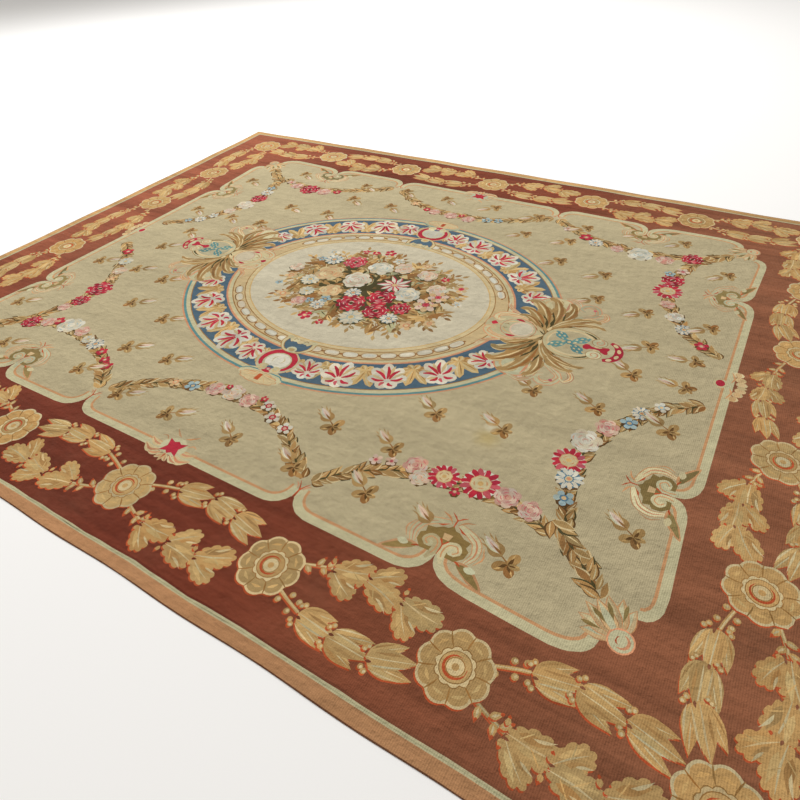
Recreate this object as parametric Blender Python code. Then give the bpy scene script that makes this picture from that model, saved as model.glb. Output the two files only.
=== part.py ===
"""Flat tapestry-woven wool area rug, lying on a floor.

The real rug is one panel, woven to shape on a loom: the wool weft covers the warp on both faces, the
plain outer band and its turned hem are part of the same cloth, and there is no pile, fringe, lining or
sewn binding. It lies nearly flat. The hand weaving has left its outline a little out of square and its
cloth a little baggy, so low soft swells stand a few millimetres off the floor.

Frame: metres, +Z up. +X runs along the rug's length and +Y across it. The origin is on the floor under
the middle of the rug's box.
"""

import math

import bmesh
import bpy
import numpy as np

# Size of the rug before hand weaving has pulled it out of square
RUG_LENGTH = 4.57
RUG_WIDTH = 3.66
CLOTH_THICKNESS = 0.003

# Widths of the woven zones, from the outer edge inwards
HEM_BAND_WIDTH = 0.055
BORDER_WIDTH_AT_ENDS = 0.465
BORDER_WIDTH_AT_SIDES = 0.405

# Number of strips in each zone, from one outer edge to the middle field
HEM_BAND_STRIPS = 1
BORDER_STRIPS = 4
FIELD_STRIPS_ALONG = 32
FIELD_STRIPS_ACROSS = 24

# How far each corner and each side's middle lies from the true rectangle.
# Columns: side along X, side along Y (-1, 0 or 1), shift along X, shift along Y
OUTLINE_SHIFTS = (
    (-1, -1, 0.020, 0.005),
    (0, -1, -0.060, 0.015),
    (1, -1, 0.025, -0.020),
    (1, 0, 0.000, 0.045),
    (1, 1, -0.010, -0.035),
    (0, 1, 0.025, 0.010),
    (-1, 1, -0.035, 0.010),
    (-1, 0, 0.030, -0.025),
)

# Small waves along the outer edges: height of the wave, waves along the length and across the width
EDGE_WAVE_HEIGHT = 0.003
EDGE_WAVES_ALONG = 7.5
EDGE_WAVES_ACROSS = 5.5
# The waves die out this far in from the edge
EDGE_WAVE_REACH = 0.30

# Soft swells where the cloth stands off the floor.
# Columns: centre along X, centre along Y, half length, half width, turn in degrees, height
SWELLS = (
    (-1.86, 1.05, 0.62, 0.16, 82.0, 0.0040),
    (-1.20, 1.52, 0.75, 0.15, 4.0, 0.0045),
    (0.35, 1.50, 0.70, 0.14, -3.0, 0.0035),
    (1.55, 1.10, 0.60, 0.17, -48.0, 0.0040),
    (1.86, -0.30, 0.65, 0.15, 86.0, 0.0035),
    (1.15, -1.35, 0.70, 0.16, -8.0, 0.0040),
    (-0.45, -1.50, 0.80, 0.14, 2.0, 0.0035),
    (-1.70, -1.00, 0.60, 0.16, 55.0, 0.0045),
    (-1.25, 0.25, 0.45, 0.14, 70.0, 0.0030),
    (1.20, 0.35, 0.50, 0.13, 98.0, 0.0030),
)

# Madder red, old gold and cream wool, as linear colours
HEM_BAND_COLOUR = (0.46, 0.24, 0.11, 1.0)
BORDER_COLOUR = (0.19, 0.055, 0.033, 1.0)
FIELD_COLOUR = (0.52, 0.44, 0.27, 1.0)
WOOL_ROUGHNESS = 0.92


def clear_scene():
    """Removes whatever the start-up scene holds."""
    for item in list(bpy.data.objects):
        bpy.data.objects.remove(item, do_unlink=True)


def wool(name, colour):
    """A matt wool finish of the given colour."""
    material = bpy.data.materials.new(name)
    material.use_nodes = True
    shader = material.node_tree.nodes["Principled BSDF"]
    shader.inputs["Base Color"].default_value = colour
    shader.inputs["Roughness"].default_value = WOOL_ROUGHNESS
    shader.inputs["Metallic"].default_value = 0.0
    return material


def grid_lines(full_size, border_width, field_strips):
    """Places of the grid lines across one direction, with lines on both limits of every woven zone."""
    half = full_size / 2
    border_start = half - HEM_BAND_WIDTH
    field_start = border_start - border_width
    hem = np.linspace(-half, -border_start, HEM_BAND_STRIPS + 1)
    border = np.linspace(-border_start, -field_start, BORDER_STRIPS + 1)
    field = np.linspace(-field_start, field_start, field_strips + 1)
    low_side = np.concatenate([hem[:-1], border[:-1]])
    return np.concatenate([low_side, field, -low_side[::-1]])


def side_weight(place_x, place_y, side_x, side_y):
    """Share of one corner's or one side's shift at a place given from -1 to 1 both ways.

    These are the weights of an eight-point quadratic patch: 1 at that corner or middle, 0 at the rest.
    """
    if side_x and side_y:
        return ((1 + side_x * place_x) * (1 + side_y * place_y)
                * (side_x * place_x + side_y * place_y - 1) / 4)
    if side_x == 0:
        return (1 - place_x ** 2) * (1 + side_y * place_y) / 2
    return (1 + side_x * place_x) * (1 - place_y ** 2) / 2


def laid_outline(x, y):
    """Moves points of the true rectangle to where the hand-woven cloth has them."""
    place_x = x / (RUG_LENGTH / 2)
    place_y = y / (RUG_WIDTH / 2)
    moved_x = x.copy()
    moved_y = y.copy()
    for side_x, side_y, shift_x, shift_y in OUTLINE_SHIFTS:
        weight = side_weight(place_x, place_y, side_x, side_y)
        moved_x += weight * shift_x
        moved_y += weight * shift_y
    near_end = np.clip(1 - (RUG_LENGTH / 2 - np.abs(x)) / EDGE_WAVE_REACH, 0, 1) ** 2
    near_side = np.clip(1 - (RUG_WIDTH / 2 - np.abs(y)) / EDGE_WAVE_REACH, 0, 1) ** 2
    moved_x += EDGE_WAVE_HEIGHT * near_end * np.sin(math.tau * EDGE_WAVES_ACROSS * place_y / 2 + place_x)
    moved_y += EDGE_WAVE_HEIGHT * near_side * np.sin(math.tau * EDGE_WAVES_ALONG * place_x / 2 + place_y)
    return moved_x, moved_y


def lift(x, y):
    """Height of the cloth's underside over the floor: a smooth bump for each swell, zero between them."""
    height = np.zeros_like(x)
    for centre_x, centre_y, half_length, half_width, turn, top in SWELLS:
        angle = math.radians(turn)
        along = (x - centre_x) * math.cos(angle) + (y - centre_y) * math.sin(angle)
        across = (y - centre_y) * math.cos(angle) - (x - centre_x) * math.sin(angle)
        reach = np.clip(1 - (along / half_length) ** 2 - (across / half_width) ** 2, 0, 1)
        height = np.maximum(height, top * reach ** 2 * (3 - 2 * reach))
    return height


def zone_of(x, y):
    """Material number at a place: 0 hem band, 1 border, 2 field."""
    inset_x = RUG_LENGTH / 2 - HEM_BAND_WIDTH - abs(x)
    inset_y = RUG_WIDTH / 2 - HEM_BAND_WIDTH - abs(y)
    if min(inset_x, inset_y) < 0:
        return 0
    in_field = inset_x > BORDER_WIDTH_AT_ENDS and inset_y > BORDER_WIDTH_AT_SIDES
    return 2 if in_field else 1


def woven_rug():
    """The rug as one closed sheet: an underside, a top face one cloth thickness above it, and a thin edge."""
    lines_x = grid_lines(RUG_LENGTH, BORDER_WIDTH_AT_ENDS, FIELD_STRIPS_ALONG)
    lines_y = grid_lines(RUG_WIDTH, BORDER_WIDTH_AT_SIDES, FIELD_STRIPS_ACROSS)
    true_x, true_y = np.meshgrid(lines_x, lines_y, indexing="ij")
    x, y = laid_outline(true_x, true_y)
    x -= (x.min() + x.max()) / 2
    y -= (y.min() + y.max()) / 2
    underside = lift(x, y)

    mesh = bpy.data.meshes.new("woven_rug")
    shell = bmesh.new()
    layers = []
    for height in (underside, underside + CLOTH_THICKNESS):
        layers.append([[shell.verts.new((x[i, j], y[i, j], height[i, j])) for j in range(len(lines_y))]
                       for i in range(len(lines_x))])
    low, high = layers

    for i in range(len(lines_x) - 1):
        for j in range(len(lines_y) - 1):
            zone = zone_of((lines_x[i] + lines_x[i + 1]) / 2, (lines_y[j] + lines_y[j + 1]) / 2)
            top_face = shell.faces.new((high[i][j], high[i + 1][j], high[i + 1][j + 1], high[i][j + 1]))
            under_face = shell.faces.new((low[i][j], low[i][j + 1], low[i + 1][j + 1], low[i + 1][j]))
            top_face.material_index = zone
            under_face.material_index = zone

    last_i = len(lines_x) - 1
    last_j = len(lines_y) - 1
    rim = ([(i, 0) for i in range(last_i)] + [(last_i, j) for j in range(last_j)]
           + [(i, last_j) for i in range(last_i, 0, -1)] + [(0, j) for j in range(last_j, 0, -1)])
    for (i0, j0), (i1, j1) in zip(rim, rim[1:] + rim[:1]):
        shell.faces.new((low[i0][j0], low[i1][j1], high[i1][j1], high[i0][j0]))

    bmesh.ops.triangulate(shell, faces=shell.faces)
    shell.to_mesh(mesh)
    shell.free()
    mesh.materials.append(wool("hem_band_wool", HEM_BAND_COLOUR))
    mesh.materials.append(wool("border_wool", BORDER_COLOUR))
    mesh.materials.append(wool("field_wool", FIELD_COLOUR))
    mesh.shade_smooth()
    mesh.set_sharp_from_angle(angle=math.radians(40))
    rug = bpy.data.objects.new("woven_rug", mesh)
    bpy.context.scene.collection.objects.link(rug)
    return rug


clear_scene()
woven_rug()
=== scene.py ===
import math

import bpy
import numpy as np
from mathutils import Matrix, Vector
from mathutils.geometry import delaunay_2d_cdt


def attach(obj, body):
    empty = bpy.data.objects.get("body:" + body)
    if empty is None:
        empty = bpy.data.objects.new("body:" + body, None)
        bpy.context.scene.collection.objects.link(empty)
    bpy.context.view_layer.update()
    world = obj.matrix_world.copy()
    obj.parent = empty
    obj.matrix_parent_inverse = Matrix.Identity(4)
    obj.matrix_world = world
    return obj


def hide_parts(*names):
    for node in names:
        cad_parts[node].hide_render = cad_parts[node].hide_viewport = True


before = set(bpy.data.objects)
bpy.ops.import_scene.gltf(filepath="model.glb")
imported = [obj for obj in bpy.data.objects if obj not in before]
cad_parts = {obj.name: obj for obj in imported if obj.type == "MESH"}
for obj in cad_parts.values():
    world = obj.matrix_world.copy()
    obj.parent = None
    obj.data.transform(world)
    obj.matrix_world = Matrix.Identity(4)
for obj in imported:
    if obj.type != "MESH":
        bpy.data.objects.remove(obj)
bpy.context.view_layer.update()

# The cloth on the loom and as it lies
# The rug is one panel of flat wool tapestry weave, with the weft beaten down over the warp on both faces.
# Weaving has pulled it a little out of square, its edges wander, and low swells stand off the floor.
RUG_LENGTH = 4.57
RUG_WIDTH = 3.66
CLOTH_THICKNESS = 0.003
# How far each corner and each side's middle lies from the true rectangle.
# Columns: side along X, side along Y (-1, 0 or 1), shift along X, shift along Y
OUTLINE_SHIFTS = (
    (-1, -1, 0.020, 0.005),
    (0, -1, -0.060, 0.015),
    (1, -1, 0.025, -0.020),
    (1, 0, 0.000, 0.045),
    (1, 1, -0.010, -0.035),
    (0, 1, 0.025, 0.010),
    (-1, 1, -0.035, 0.010),
    (-1, 0, 0.030, -0.025),
)
EDGE_WAVE_HEIGHT = 0.003
EDGE_WAVES_ALONG = 7.5
EDGE_WAVES_ACROSS = 5.5
EDGE_WAVE_REACH = 0.30
# Columns: centre along X, centre along Y, half length, half width, turn in degrees, height
SWELLS = (
    (-1.86, 1.05, 0.62, 0.16, 82.0, 0.0040),
    (-1.20, 1.52, 0.75, 0.15, 4.0, 0.0045),
    (0.35, 1.50, 0.70, 0.14, -3.0, 0.0035),
    (1.55, 1.10, 0.60, 0.17, -48.0, 0.0040),
    (1.86, -0.30, 0.65, 0.15, 86.0, 0.0035),
    (1.15, -1.35, 0.70, 0.16, -8.0, 0.0040),
    (-0.45, -1.50, 0.80, 0.14, 2.0, 0.0035),
    (-1.70, -1.00, 0.60, 0.16, 55.0, 0.0045),
    (-1.25, 0.25, 0.45, 0.14, 70.0, 0.0030),
    (1.20, 0.35, 0.50, 0.13, 98.0, 0.0030),
)


def laid(points):
    """Moves places on the true rectangle to where the cloth has them.

    Each corner's and each side middle's shift is weighted by an eight-point quadratic patch, and near the
    edges a sine of the place along the edge is added, which fades with the square of the way inwards."""
    x, y = points[:, 0], points[:, 1]
    place_x, place_y = x / (RUG_LENGTH / 2), y / (RUG_WIDTH / 2)
    moved = points.astype(float).copy()
    for side_x, side_y, shift_x, shift_y in OUTLINE_SHIFTS:
        if side_x and side_y:
            weight = (1 + side_x * place_x) * (1 + side_y * place_y)
            weight = weight * (side_x * place_x + side_y * place_y - 1) / 4
        elif side_x == 0:
            weight = (1 - place_x ** 2) * (1 + side_y * place_y) / 2
        else:
            weight = (1 + side_x * place_x) * (1 - place_y ** 2) / 2
        moved += weight[:, None] * (shift_x, shift_y)
    near_end = np.clip(1 - (RUG_LENGTH / 2 - np.abs(x)) / EDGE_WAVE_REACH, 0, 1) ** 2
    near_side = np.clip(1 - (RUG_WIDTH / 2 - np.abs(y)) / EDGE_WAVE_REACH, 0, 1) ** 2
    moved[:, 0] += EDGE_WAVE_HEIGHT * near_end * np.sin(math.pi * EDGE_WAVES_ACROSS * place_y + place_x)
    moved[:, 1] += EDGE_WAVE_HEIGHT * near_side * np.sin(math.pi * EDGE_WAVES_ALONG * place_x + place_y)
    return moved


def lift(x, y):
    """Height of the underside over the floor: on each swell t^2 (3 - 2 t) of its height, where t falls from 1
    at the middle to 0 at the rim of its ellipse, and the highest swell counts."""
    height = np.zeros_like(x)
    for centre_x, centre_y, half_length, half_width, turn, top in SWELLS:
        angle = math.radians(turn)
        along = (x - centre_x) * math.cos(angle) + (y - centre_y) * math.sin(angle)
        across = (y - centre_y) * math.cos(angle) - (x - centre_x) * math.sin(angle)
        reach = np.clip(1 - (along / half_length) ** 2 - (across / half_width) ** 2, 0, 1)
        height = np.maximum(height, top * reach ** 2 * (3 - 2 * reach))
    return height


# The dyed wool
# Plant-dyed wools of an old carpet, faded by light: madder reds, weld and walnut golds, indigo blues, and
# undyed cream. Every woven patch of the design takes one of them.
DYES = {
    "terracotta": "B3845C",
    "band_gold": "BE9562",
    "hem_shadow": "6B4630",
    "pale_line": "B8AF8B",
    "green_line": "A3A07C",
    "dark_madder": "5A281D",
    "madder": "793D2A",
    "vermilion": "B3522F",
    "straw": "C7B489",
    "old_gold": "B99560",
    "tan": "97703F",
    "tan_gold": "A98250",
    "field": "B3A684",
    "band_cream": "BDB590",
    "salmon": "C08F64",
    "orange_pink": "C58A66",
    "olive": "857246",
    "dark_olive": "4A4429",
    "crimson": "B02E3D",
    "rose": "B9565D",
    "wine": "85202E",
    "pink": "BD9482",
    "pale_pink": "C7AF9A",
    "white": "CAC3AF",
    "oval": "C3BAA1",
    "slate": "4D6371",
    "teal": "5E8886",
    "sky": "98AAA8",
    "blue": "557789",
    "gold": "C3A26B",
    "leaf_gold": "A08152",
    "leaf_brown": "8C6439",
    "umber": "5E4426",
    "peach": "C4A67A",
    "pale_gold": "C0A97E",
}

design = []
SHADE_SHIFT = np.array([-0.0016, -0.0056])


def curve_through(points, count, closed=False):
    """Points on a smooth curve through the given ones: between two of them a cubic, whose slope at each is
    half the step from the point before to the point after."""
    given = np.asarray(points, float)
    if closed:
        ring = np.vstack([given[-1:], given, given[:2]])
    else:
        ring = np.vstack([2 * given[:1] - given[1:2], given, 2 * given[-1:] - given[-2:-1]])
    stretches = len(ring) - 3
    way = np.linspace(0, stretches, count, endpoint=not closed)
    first = np.minimum(way.astype(int), stretches - 1)
    t = (way - first)[:, None]
    a, b, c, d = ring[first], ring[first + 1], ring[first + 2], ring[first + 3]
    return (2 * b + (c - a) * t + (2 * a - 5 * b + 4 * c - d) * t ** 2 + (3 * b - a - 3 * c + d) * t ** 3) / 2


def across(path):
    """Unit vectors to the left of a path at each of its points."""
    slope = np.gradient(path, axis=0)
    slope /= np.linalg.norm(slope, axis=1, keepdims=True) + 1e-12
    return np.stack([-slope[:, 1], slope[:, 0]], 1)


def stripe(path, width):
    """Outline of a line of the given width, one number or one for each point: the path moved half the width
    to its left, then back along its right."""
    half = across(path) * np.broadcast_to(np.asarray(width, float) / 2, len(path))[:, None]
    return np.vstack([path + half, (path - half)[::-1]])


def stroke(points, width, count=7, blunt=0.25):
    """A hand-drawn line through the points that swells from its ends: its width is width times
    blunt + (1 - blunt) sin(pi t)."""
    path = curve_through(points, count)
    t = np.linspace(0, 1, count)
    return stripe(path, width * (blunt + (1 - blunt) * np.sin(math.pi * t)))


def leaf(length, width, bend=0.0, belly=0.75, count=7, teeth=0):
    """Leaf from its stalk at the origin to its tip near +X: the midrib rises by bend t^2 of its length, the
    half width is sin(pi t^belly), and teeth cut it back to 80% between them."""
    t = np.linspace(0, 1, count)
    profile = np.sin(math.pi * t ** belly)
    if teeth:
        profile = profile * (0.8 + 0.2 * np.abs(np.sin(math.pi * teeth * t)))
    midrib = np.stack([length * t, length * bend * t ** 2], 1)
    return stripe(midrib, np.maximum(width * profile, 0.0))


def lobed(radius_x, radius_y=None, lobes=0, depth=0.0, count=12, start=0.0):
    """Ellipse, or a flower's outline of round lobes: its radius is
    1 - depth + depth |cos(lobes a / 2)|^0.6."""
    angle = np.linspace(0, math.tau, count, endpoint=False)
    reach = 1 - depth + depth * np.abs(np.cos(lobes * angle / 2)) ** 0.6 if lobes else np.ones(count)
    angle = angle + math.radians(start)
    radius_y = radius_x if radius_y is None else radius_y
    return np.stack([radius_x * reach * np.cos(angle), radius_y * reach * np.sin(angle)], 1)


def turned(outline, degrees, at=(0.0, 0.0)):
    """The outline turned about the origin, then moved."""
    angle = math.radians(degrees)
    c, s = math.cos(angle), math.sin(angle)
    return np.asarray(outline) @ np.array([(c, s), (-s, c)]) + at


def arc(centre, radius_x, radius_y, start, end, count=9):
    """Points on an ellipse's arc, between two angles in degrees."""
    angle = np.radians(np.linspace(start, end, count))
    return np.stack([centre[0] + radius_x * np.cos(angle), centre[1] + radius_y * np.sin(angle)], 1)


def spiral(centre, radius, turns, start, end_radius=0.25, count=16, way=1):
    """Points on a spiral from its outer end inwards: the radius falls evenly to end_radius of itself."""
    t = np.linspace(0, 1, count)
    angle = math.radians(start) + way * math.tau * turns * t
    reach = radius * (1 - (1 - end_radius) * t)
    return np.stack([centre[0] + reach * np.cos(angle), centre[1] + reach * np.sin(angle)], 1)


def place(motif, at=(0.0, 0.0), turn=0.0, size=1.0, flip=1, mirror=(1, 1), shaded=None, shadow="vermilion"):
    """Adds a motif's patches to the design: flipped across its X axis, turned, sized, moved, then mirrored
    about the rug's centre lines. Patches of the dye named by shaded get an edge of the shadow dye on their
    low side."""
    placed = [(turned(outline * (size, size * flip), turn, at) * mirror, dye) for outline, dye in motif]
    if shaded:
        design.extend((outline + SHADE_SHIFT, shadow) for outline, dye in placed if dye == shaded)
    design.extend(placed)


QUARTERS = ((1, -1), (-1, -1), (-1, 1), (1, 1))

# The hem band, the pale line and the border's ground
# The outer 45 mm is plain, with its hem turned and woven in. It is terracotta on the near and right sides and
# old gold on the other two. Inside it run a pale line with a greenish core and a dark edge to the madder red.
HEM_SHADOW_WIDTH = 0.004
HEM_BAND_WIDTH = 0.045
PALE_LINE_WIDTH = 0.013
DARK_LINE_WIDTH = 0.007
EDGE_POINT_SPACING = 0.035


def inset_sides(inset, spacing=EDGE_POINT_SPACING, wander=0.0):
    """The four sides of a rectangle that lies inset from the true rug's edge, each without its last corner,
    wandering sideways by a sum of two sines that is zero at the corners."""
    half_x, half_y = RUG_LENGTH / 2 - inset, RUG_WIDTH / 2 - inset
    corners = np.array([(-half_x, -half_y), (half_x, -half_y), (half_x, half_y), (-half_x, half_y)])
    sides = []
    for start, end in zip(corners, np.roll(corners, -1, axis=0)):
        length = np.linalg.norm(end - start)
        way = np.linspace(0, 1, round(length / spacing), endpoint=False)
        waves = np.sin(math.tau * 11 * way) + np.sin(math.tau * 27 * way)
        sideways = wander * np.sin(math.pi * way) * waves
        direction = (end - start) / length
        sides.append(start + np.outer(way * length,
                                      direction) + np.outer(sideways, (-direction[1], direction[0])))
    return sides


rug_edge = inset_sides(0.0)
place([(np.vstack(rug_edge), "hem_shadow")])
outer_sides, inner_sides = inset_sides(HEM_SHADOW_WIDTH), inset_sides(HEM_BAND_WIDTH + 0.002)
for side, side_points in enumerate(outer_sides):
    following = (side + 1) % 4
    strip = np.vstack([side_points, outer_sides[following][:1], inner_sides[following][:1],
                       inner_sides[side][:1]])
    place([(strip, ("terracotta", "terracotta", "band_gold", "band_gold")[side])])
for inset, dye, wander in (
    (HEM_BAND_WIDTH, "pale_line", 0.0006),
    (HEM_BAND_WIDTH + 0.35 * PALE_LINE_WIDTH, "green_line", 0.0010),
    (HEM_BAND_WIDTH + 0.60 * PALE_LINE_WIDTH, "pale_line", 0.0010),
    (HEM_BAND_WIDTH + PALE_LINE_WIDTH, "dark_madder", 0.0014),
    (HEM_BAND_WIDTH + PALE_LINE_WIDTH + DARK_LINE_WIDTH, "madder", 0.0016),
):
    place([(np.vstack(inset_sides(inset, wander=wander)), dye)])

# The border's rosettes
# Gold nine-petalled rosettes with pale rims stand along the middle of the border, one at each corner, and
# each has a ringed eye. A vermilion line edges their low side.
ROSETTE_RADIUS = 0.109
ROSETTE_PETALS = 9
# Distances from the rug's centre: of the rows of rosettes, and of the rosettes in each row
SIDE_ROW = 1.568
END_ROW = 1.997
ALONG_SIDES = (0.0, 0.69, 1.335, 1.985)
ALONG_ENDS = (0.36, 0.945, 1.575)


def rosette(radius):
    """Lobed discs inside each other, a light fold on each petal, lines between them, and the eye's rings."""
    step = 360 / ROSETTE_PETALS
    motif = [(lobed(radius, None, ROSETTE_PETALS, 0.15, ROSETTE_PETALS * 7), "straw"),
             (lobed(radius * 0.93, None, ROSETTE_PETALS, 0.15, ROSETTE_PETALS * 6), "old_gold")]
    for number in range(ROSETTE_PETALS):
        bow = arc((0.0, 0.0), 0.72 * radius, 0.72 * radius, step * number - 12, step * number + 12, 4)
        fold = stroke(bow, 0.10 * radius, 5)
        motif.append((fold, "gold"))
        line = stroke([(0.50 * radius, 0.0), (0.72 * radius, 0.02 * radius), (0.96 * radius, 0.0)],
                      0.050 * radius, 4)
        motif.append((turned(line, step * (number + 0.5)), "tan"))
    motif += [(lobed(radius * 0.54, None, 10, 0.12, 40), "tan"),
              (lobed(radius * 0.51, None, 10, 0.12, 40), "straw"),
              (lobed(radius * 0.42, count=20), "tan"),
              (lobed(radius * 0.395, count=20), "old_gold"),
              (stroke(arc((0.0, 0.0), 0.30 * radius, 0.29 * radius, -110, 190, 12), 0.075 * radius, 18),
               "vermilion"),
              (lobed(radius * 0.25, count=14), "tan"),
              (lobed(radius * 0.225, count=14), "straw"),
              (lobed(radius * 0.10, count=8), "old_gold")]
    return motif


# The border's oak and laurel strands
# Between two rosettes two gold strands bow apart, one of lobed oak leaves with acorns and one of pointed
# laurel with berries. They change sides at each rosette and grow away from a short stalk with leaflets.
CLUSTER_LENGTH = 0.152
STRAND_BOW = 0.104


def berry(at, radius):
    """A round berry with a light spot."""
    return [(lobed(radius, count=9) + at, "old_gold"),
            (lobed(radius * 0.55, count=6) + at + radius * 0.15, "straw")]


def laurel_leaf(length, width, angle, at, bend):
    """A pointed leaf: its body, a light half with a pale edge, a shaded half, and a pale midrib."""
    body = leaf(length, width, bend, 0.72, 9)
    upper = leaf(length * 0.80, width * 0.30, bend, 0.8, 6) + (0.08 * length, 0.20 * width)
    lower = leaf(length * 0.62, width * 0.16, bend, 0.9, 5) + (0.16 * length, -0.26 * width)
    edge = leaf(length * 0.70, width * 0.11, bend - 0.05, 0.8, 5) + (0.12 * length, 0.36 * width)
    rib = stroke([(0.04 * length, 0.0), (0.5 * length, 0.25 * bend * length),
                  (0.95 * length, 0.9 * bend * length)],
                 0.090 * width, 5)
    return [(turned(outline, angle, at), dye)
            for outline, dye in ((body, "old_gold"), (lower, "tan_gold"), (upper, "gold"), (edge, "straw"),
                                 (rib, "straw"))]


def laurel_cluster(length):
    """Three broad pointed leaves that overlap, the longest on top, and berries where they are tied."""
    motif = []
    for at in ((-0.02, 0.20), (0.06, 0.27), (-0.05, -0.16), (0.02, -0.22)):
        motif += berry(np.array(at) * length, 0.062 * length)
    motif += laurel_leaf(0.84 * length, 0.32 * length, -31, (0.02 * length, -0.03 * length), 0.14)
    motif += laurel_leaf(0.96 * length, 0.34 * length, 21, (0.04 * length, 0.05 * length), -0.14)
    motif += laurel_leaf(1.04 * length, 0.42 * length, -4, (0.0, 0.0), 0.0)
    return motif + [(leaf(0.13 * length, 0.07 * length, count=5) + (0.03 * length, 0.075 * length),
                     "dark_madder")]


def oak_leaf(length, width, angle, at, lobes=11):
    """A leaf with round lobes, wider towards its tip, with light folds, a midrib and side veins."""
    edge = lobed(length / 2, width / 2, lobes, 0.17, lobes * 4) + (length / 2, 0.0)
    edge = edge * np.stack([np.ones(len(edge)), 0.82 + 0.32 * edge[:, 0] / length], 1)
    rib = stroke([(0.02 * length, 0.0), (0.45 * length, 0.05 * width), (0.90 * length, 0.0)], 0.065 * width,
                 5)
    shade = leaf(0.60 * length, 0.26 * width, -0.10, count=6) + (0.20 * length, -0.16 * width)
    folds = [leaf(0.62 * length, 0.22 * width, 0.08, count=6) + (0.22 * length, 0.16 * width),
             leaf(0.40 * length, 0.10 * width, -0.3, count=5) + (0.44 * length, -0.22 * width)]
    veins = [stroke([(way * length, 0.0), ((way + 0.14) * length, side * 0.20 * width),
                     ((way + 0.24) * length, side * 0.38 * width)], 0.055 * width, 4)
             for way, side in ((0.22, -1), (0.44, 1))]
    pieces = [(edge, "old_gold"), (shade, "tan_gold"), (folds[0], "gold"), (folds[1], "straw"),
              (rib, "straw")]
    return [(turned(outline, angle, at), dye) for outline,
            dye in pieces + [(vein, "gold") for vein in veins]]


def oak_cluster(length):
    """A broad lobed leaf over a smaller one, and two buds with vermilion tips where they are tied."""
    motif = []
    for angle, at in ((78, (0.0, 0.10)), (-100, (-0.04, -0.12))):
        bud = turned(leaf(0.17 * length, 0.11 * length, 0.0, 0.8, 6), angle, np.array(at) * length)
        tip = turned(leaf(0.08 * length, 0.075 * length, 0.0, 0.8, 5) + (0.12 * length, 0.0), angle,
                     np.array(at) * length)
        motif += [(bud, "old_gold"), (tip, "vermilion")]
    motif += oak_leaf(0.82 * length, 0.52 * length, 36, (0.03 * length, 0.05 * length), 9)
    motif += oak_leaf(1.00 * length, 0.64 * length, -9, (0.0, -0.02 * length))
    return motif + [(leaf(0.12 * length, 0.06 * length, count=5) + (0.01 * length, 0.06 * length),
                     "dark_madder")]


CLUSTERS = {"laurel": laurel_cluster(CLUSTER_LENGTH), "oak": oak_cluster(CLUSTER_LENGTH)}


def strand(start, end, side, kinds):
    """A strand between two rosettes, bowed to its left (side 1) or right (side -1) by STRAND_BOW times
    sin(pi t)^0.75: first a stalk with leaflets or berries, then a cluster of each kind in turn."""
    start, end = np.array(start), np.array(end)
    span = np.linalg.norm(end - start)
    forward = (end - start) / span
    left = np.array([-forward[1], forward[0]]) * side
    t = np.linspace(0, 1, 41)
    path = start + np.outer(t, end - start) + np.outer(STRAND_BOW * np.sin(math.pi * t) ** 0.75, left)
    heading = np.degrees(np.unwrap(np.arctan2(*np.gradient(path, axis=0).T[::-1])))
    stalk = [(stripe(path[5:13:2], 0.011), "old_gold"), (stripe(path[5:13:2] + 0.001, 0.004), "straw")]
    place(stalk, shaded="old_gold")
    for number, way in enumerate((0.160, 0.190, 0.225, 0.255)):
        at = path[round(way * 40)]
        side_way = 1 if number % 2 else -1
        if kinds[0] == "laurel":
            place(berry((0.0, 0.0), 0.0105), at + left * side * 0.022 * side_way, shaded="old_gold")
        else:
            place([(leaf(0.040, 0.021, count=6), "old_gold"),
                   (leaf(0.026, 0.008, count=4) + (0.006, 0.0), "straw"),
                   (leaf(0.013, 0.011, count=4) + (0.029, 0.0), "vermilion")],
                  at, heading[round(way * 40)] + 58 * side_way, shaded="old_gold")
    reach = CLUSTER_LENGTH * (0.94 if len(kinds) == 3 else 0.80)
    starts = np.linspace(0.275, 0.86 - reach / span, len(kinds))
    for number, (way, kind) in enumerate(zip(starts, kinds)):
        index = round((way + 0.5 * reach / span) * 40)
        foot = path[round(way * 40)]
        place(CLUSTERS[kind], foot, heading[index], reach / CLUSTER_LENGTH, 1 if number % 2 else -1,
              shaded="old_gold")


def both_strands(start, end, inner_side, inner_kinds):
    """The inner and outer strand between two rosettes, each kind facing the other."""
    other = {"oak": "laurel", "laurel": "oak"}
    strand(start, end, inner_side, inner_kinds)
    strand(start, end, -inner_side, [other[kind] for kind in inner_kinds])


for mirror_x, mirror_y in QUARTERS:
    for number in range(3):
        row = [(mirror_x * u, mirror_y * SIDE_ROW) for u in ALONG_SIDES[number:number + 2]]
        both_strands(*row, -mirror_x * mirror_y, ["oak" if number == 1 else "laurel"] * 3)
for mirror_x in (1, -1):
    places = [*ALONG_ENDS[::-1], *(-v for v in ALONG_ENDS)]
    kinds = (["oak"] * 3, ["laurel"] * 3, ["oak", "oak", "laurel", "laurel"], ["oak"] * 3, ["laurel"] * 3)
    for start, end, inner_kinds in zip(places, places[1:], kinds):
        both_strands((mirror_x * END_ROW, start), (mirror_x * END_ROW, end), -mirror_x, inner_kinds)
rosette_places = {(mirror_x * u, mirror_y * SIDE_ROW) for mirror_x,
                  mirror_y in QUARTERS for u in ALONG_SIDES}
rosette_places |= {(mirror_x * END_ROW, mirror_y * v) for mirror_x,
                   mirror_y in QUARTERS for v in ALONG_ENDS[:2]}
for number, centre in enumerate(sorted(rosette_places)):
    place(rosette(ROSETTE_RADIUS), centre, turn=13.0 * number, shaded="straw")

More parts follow.
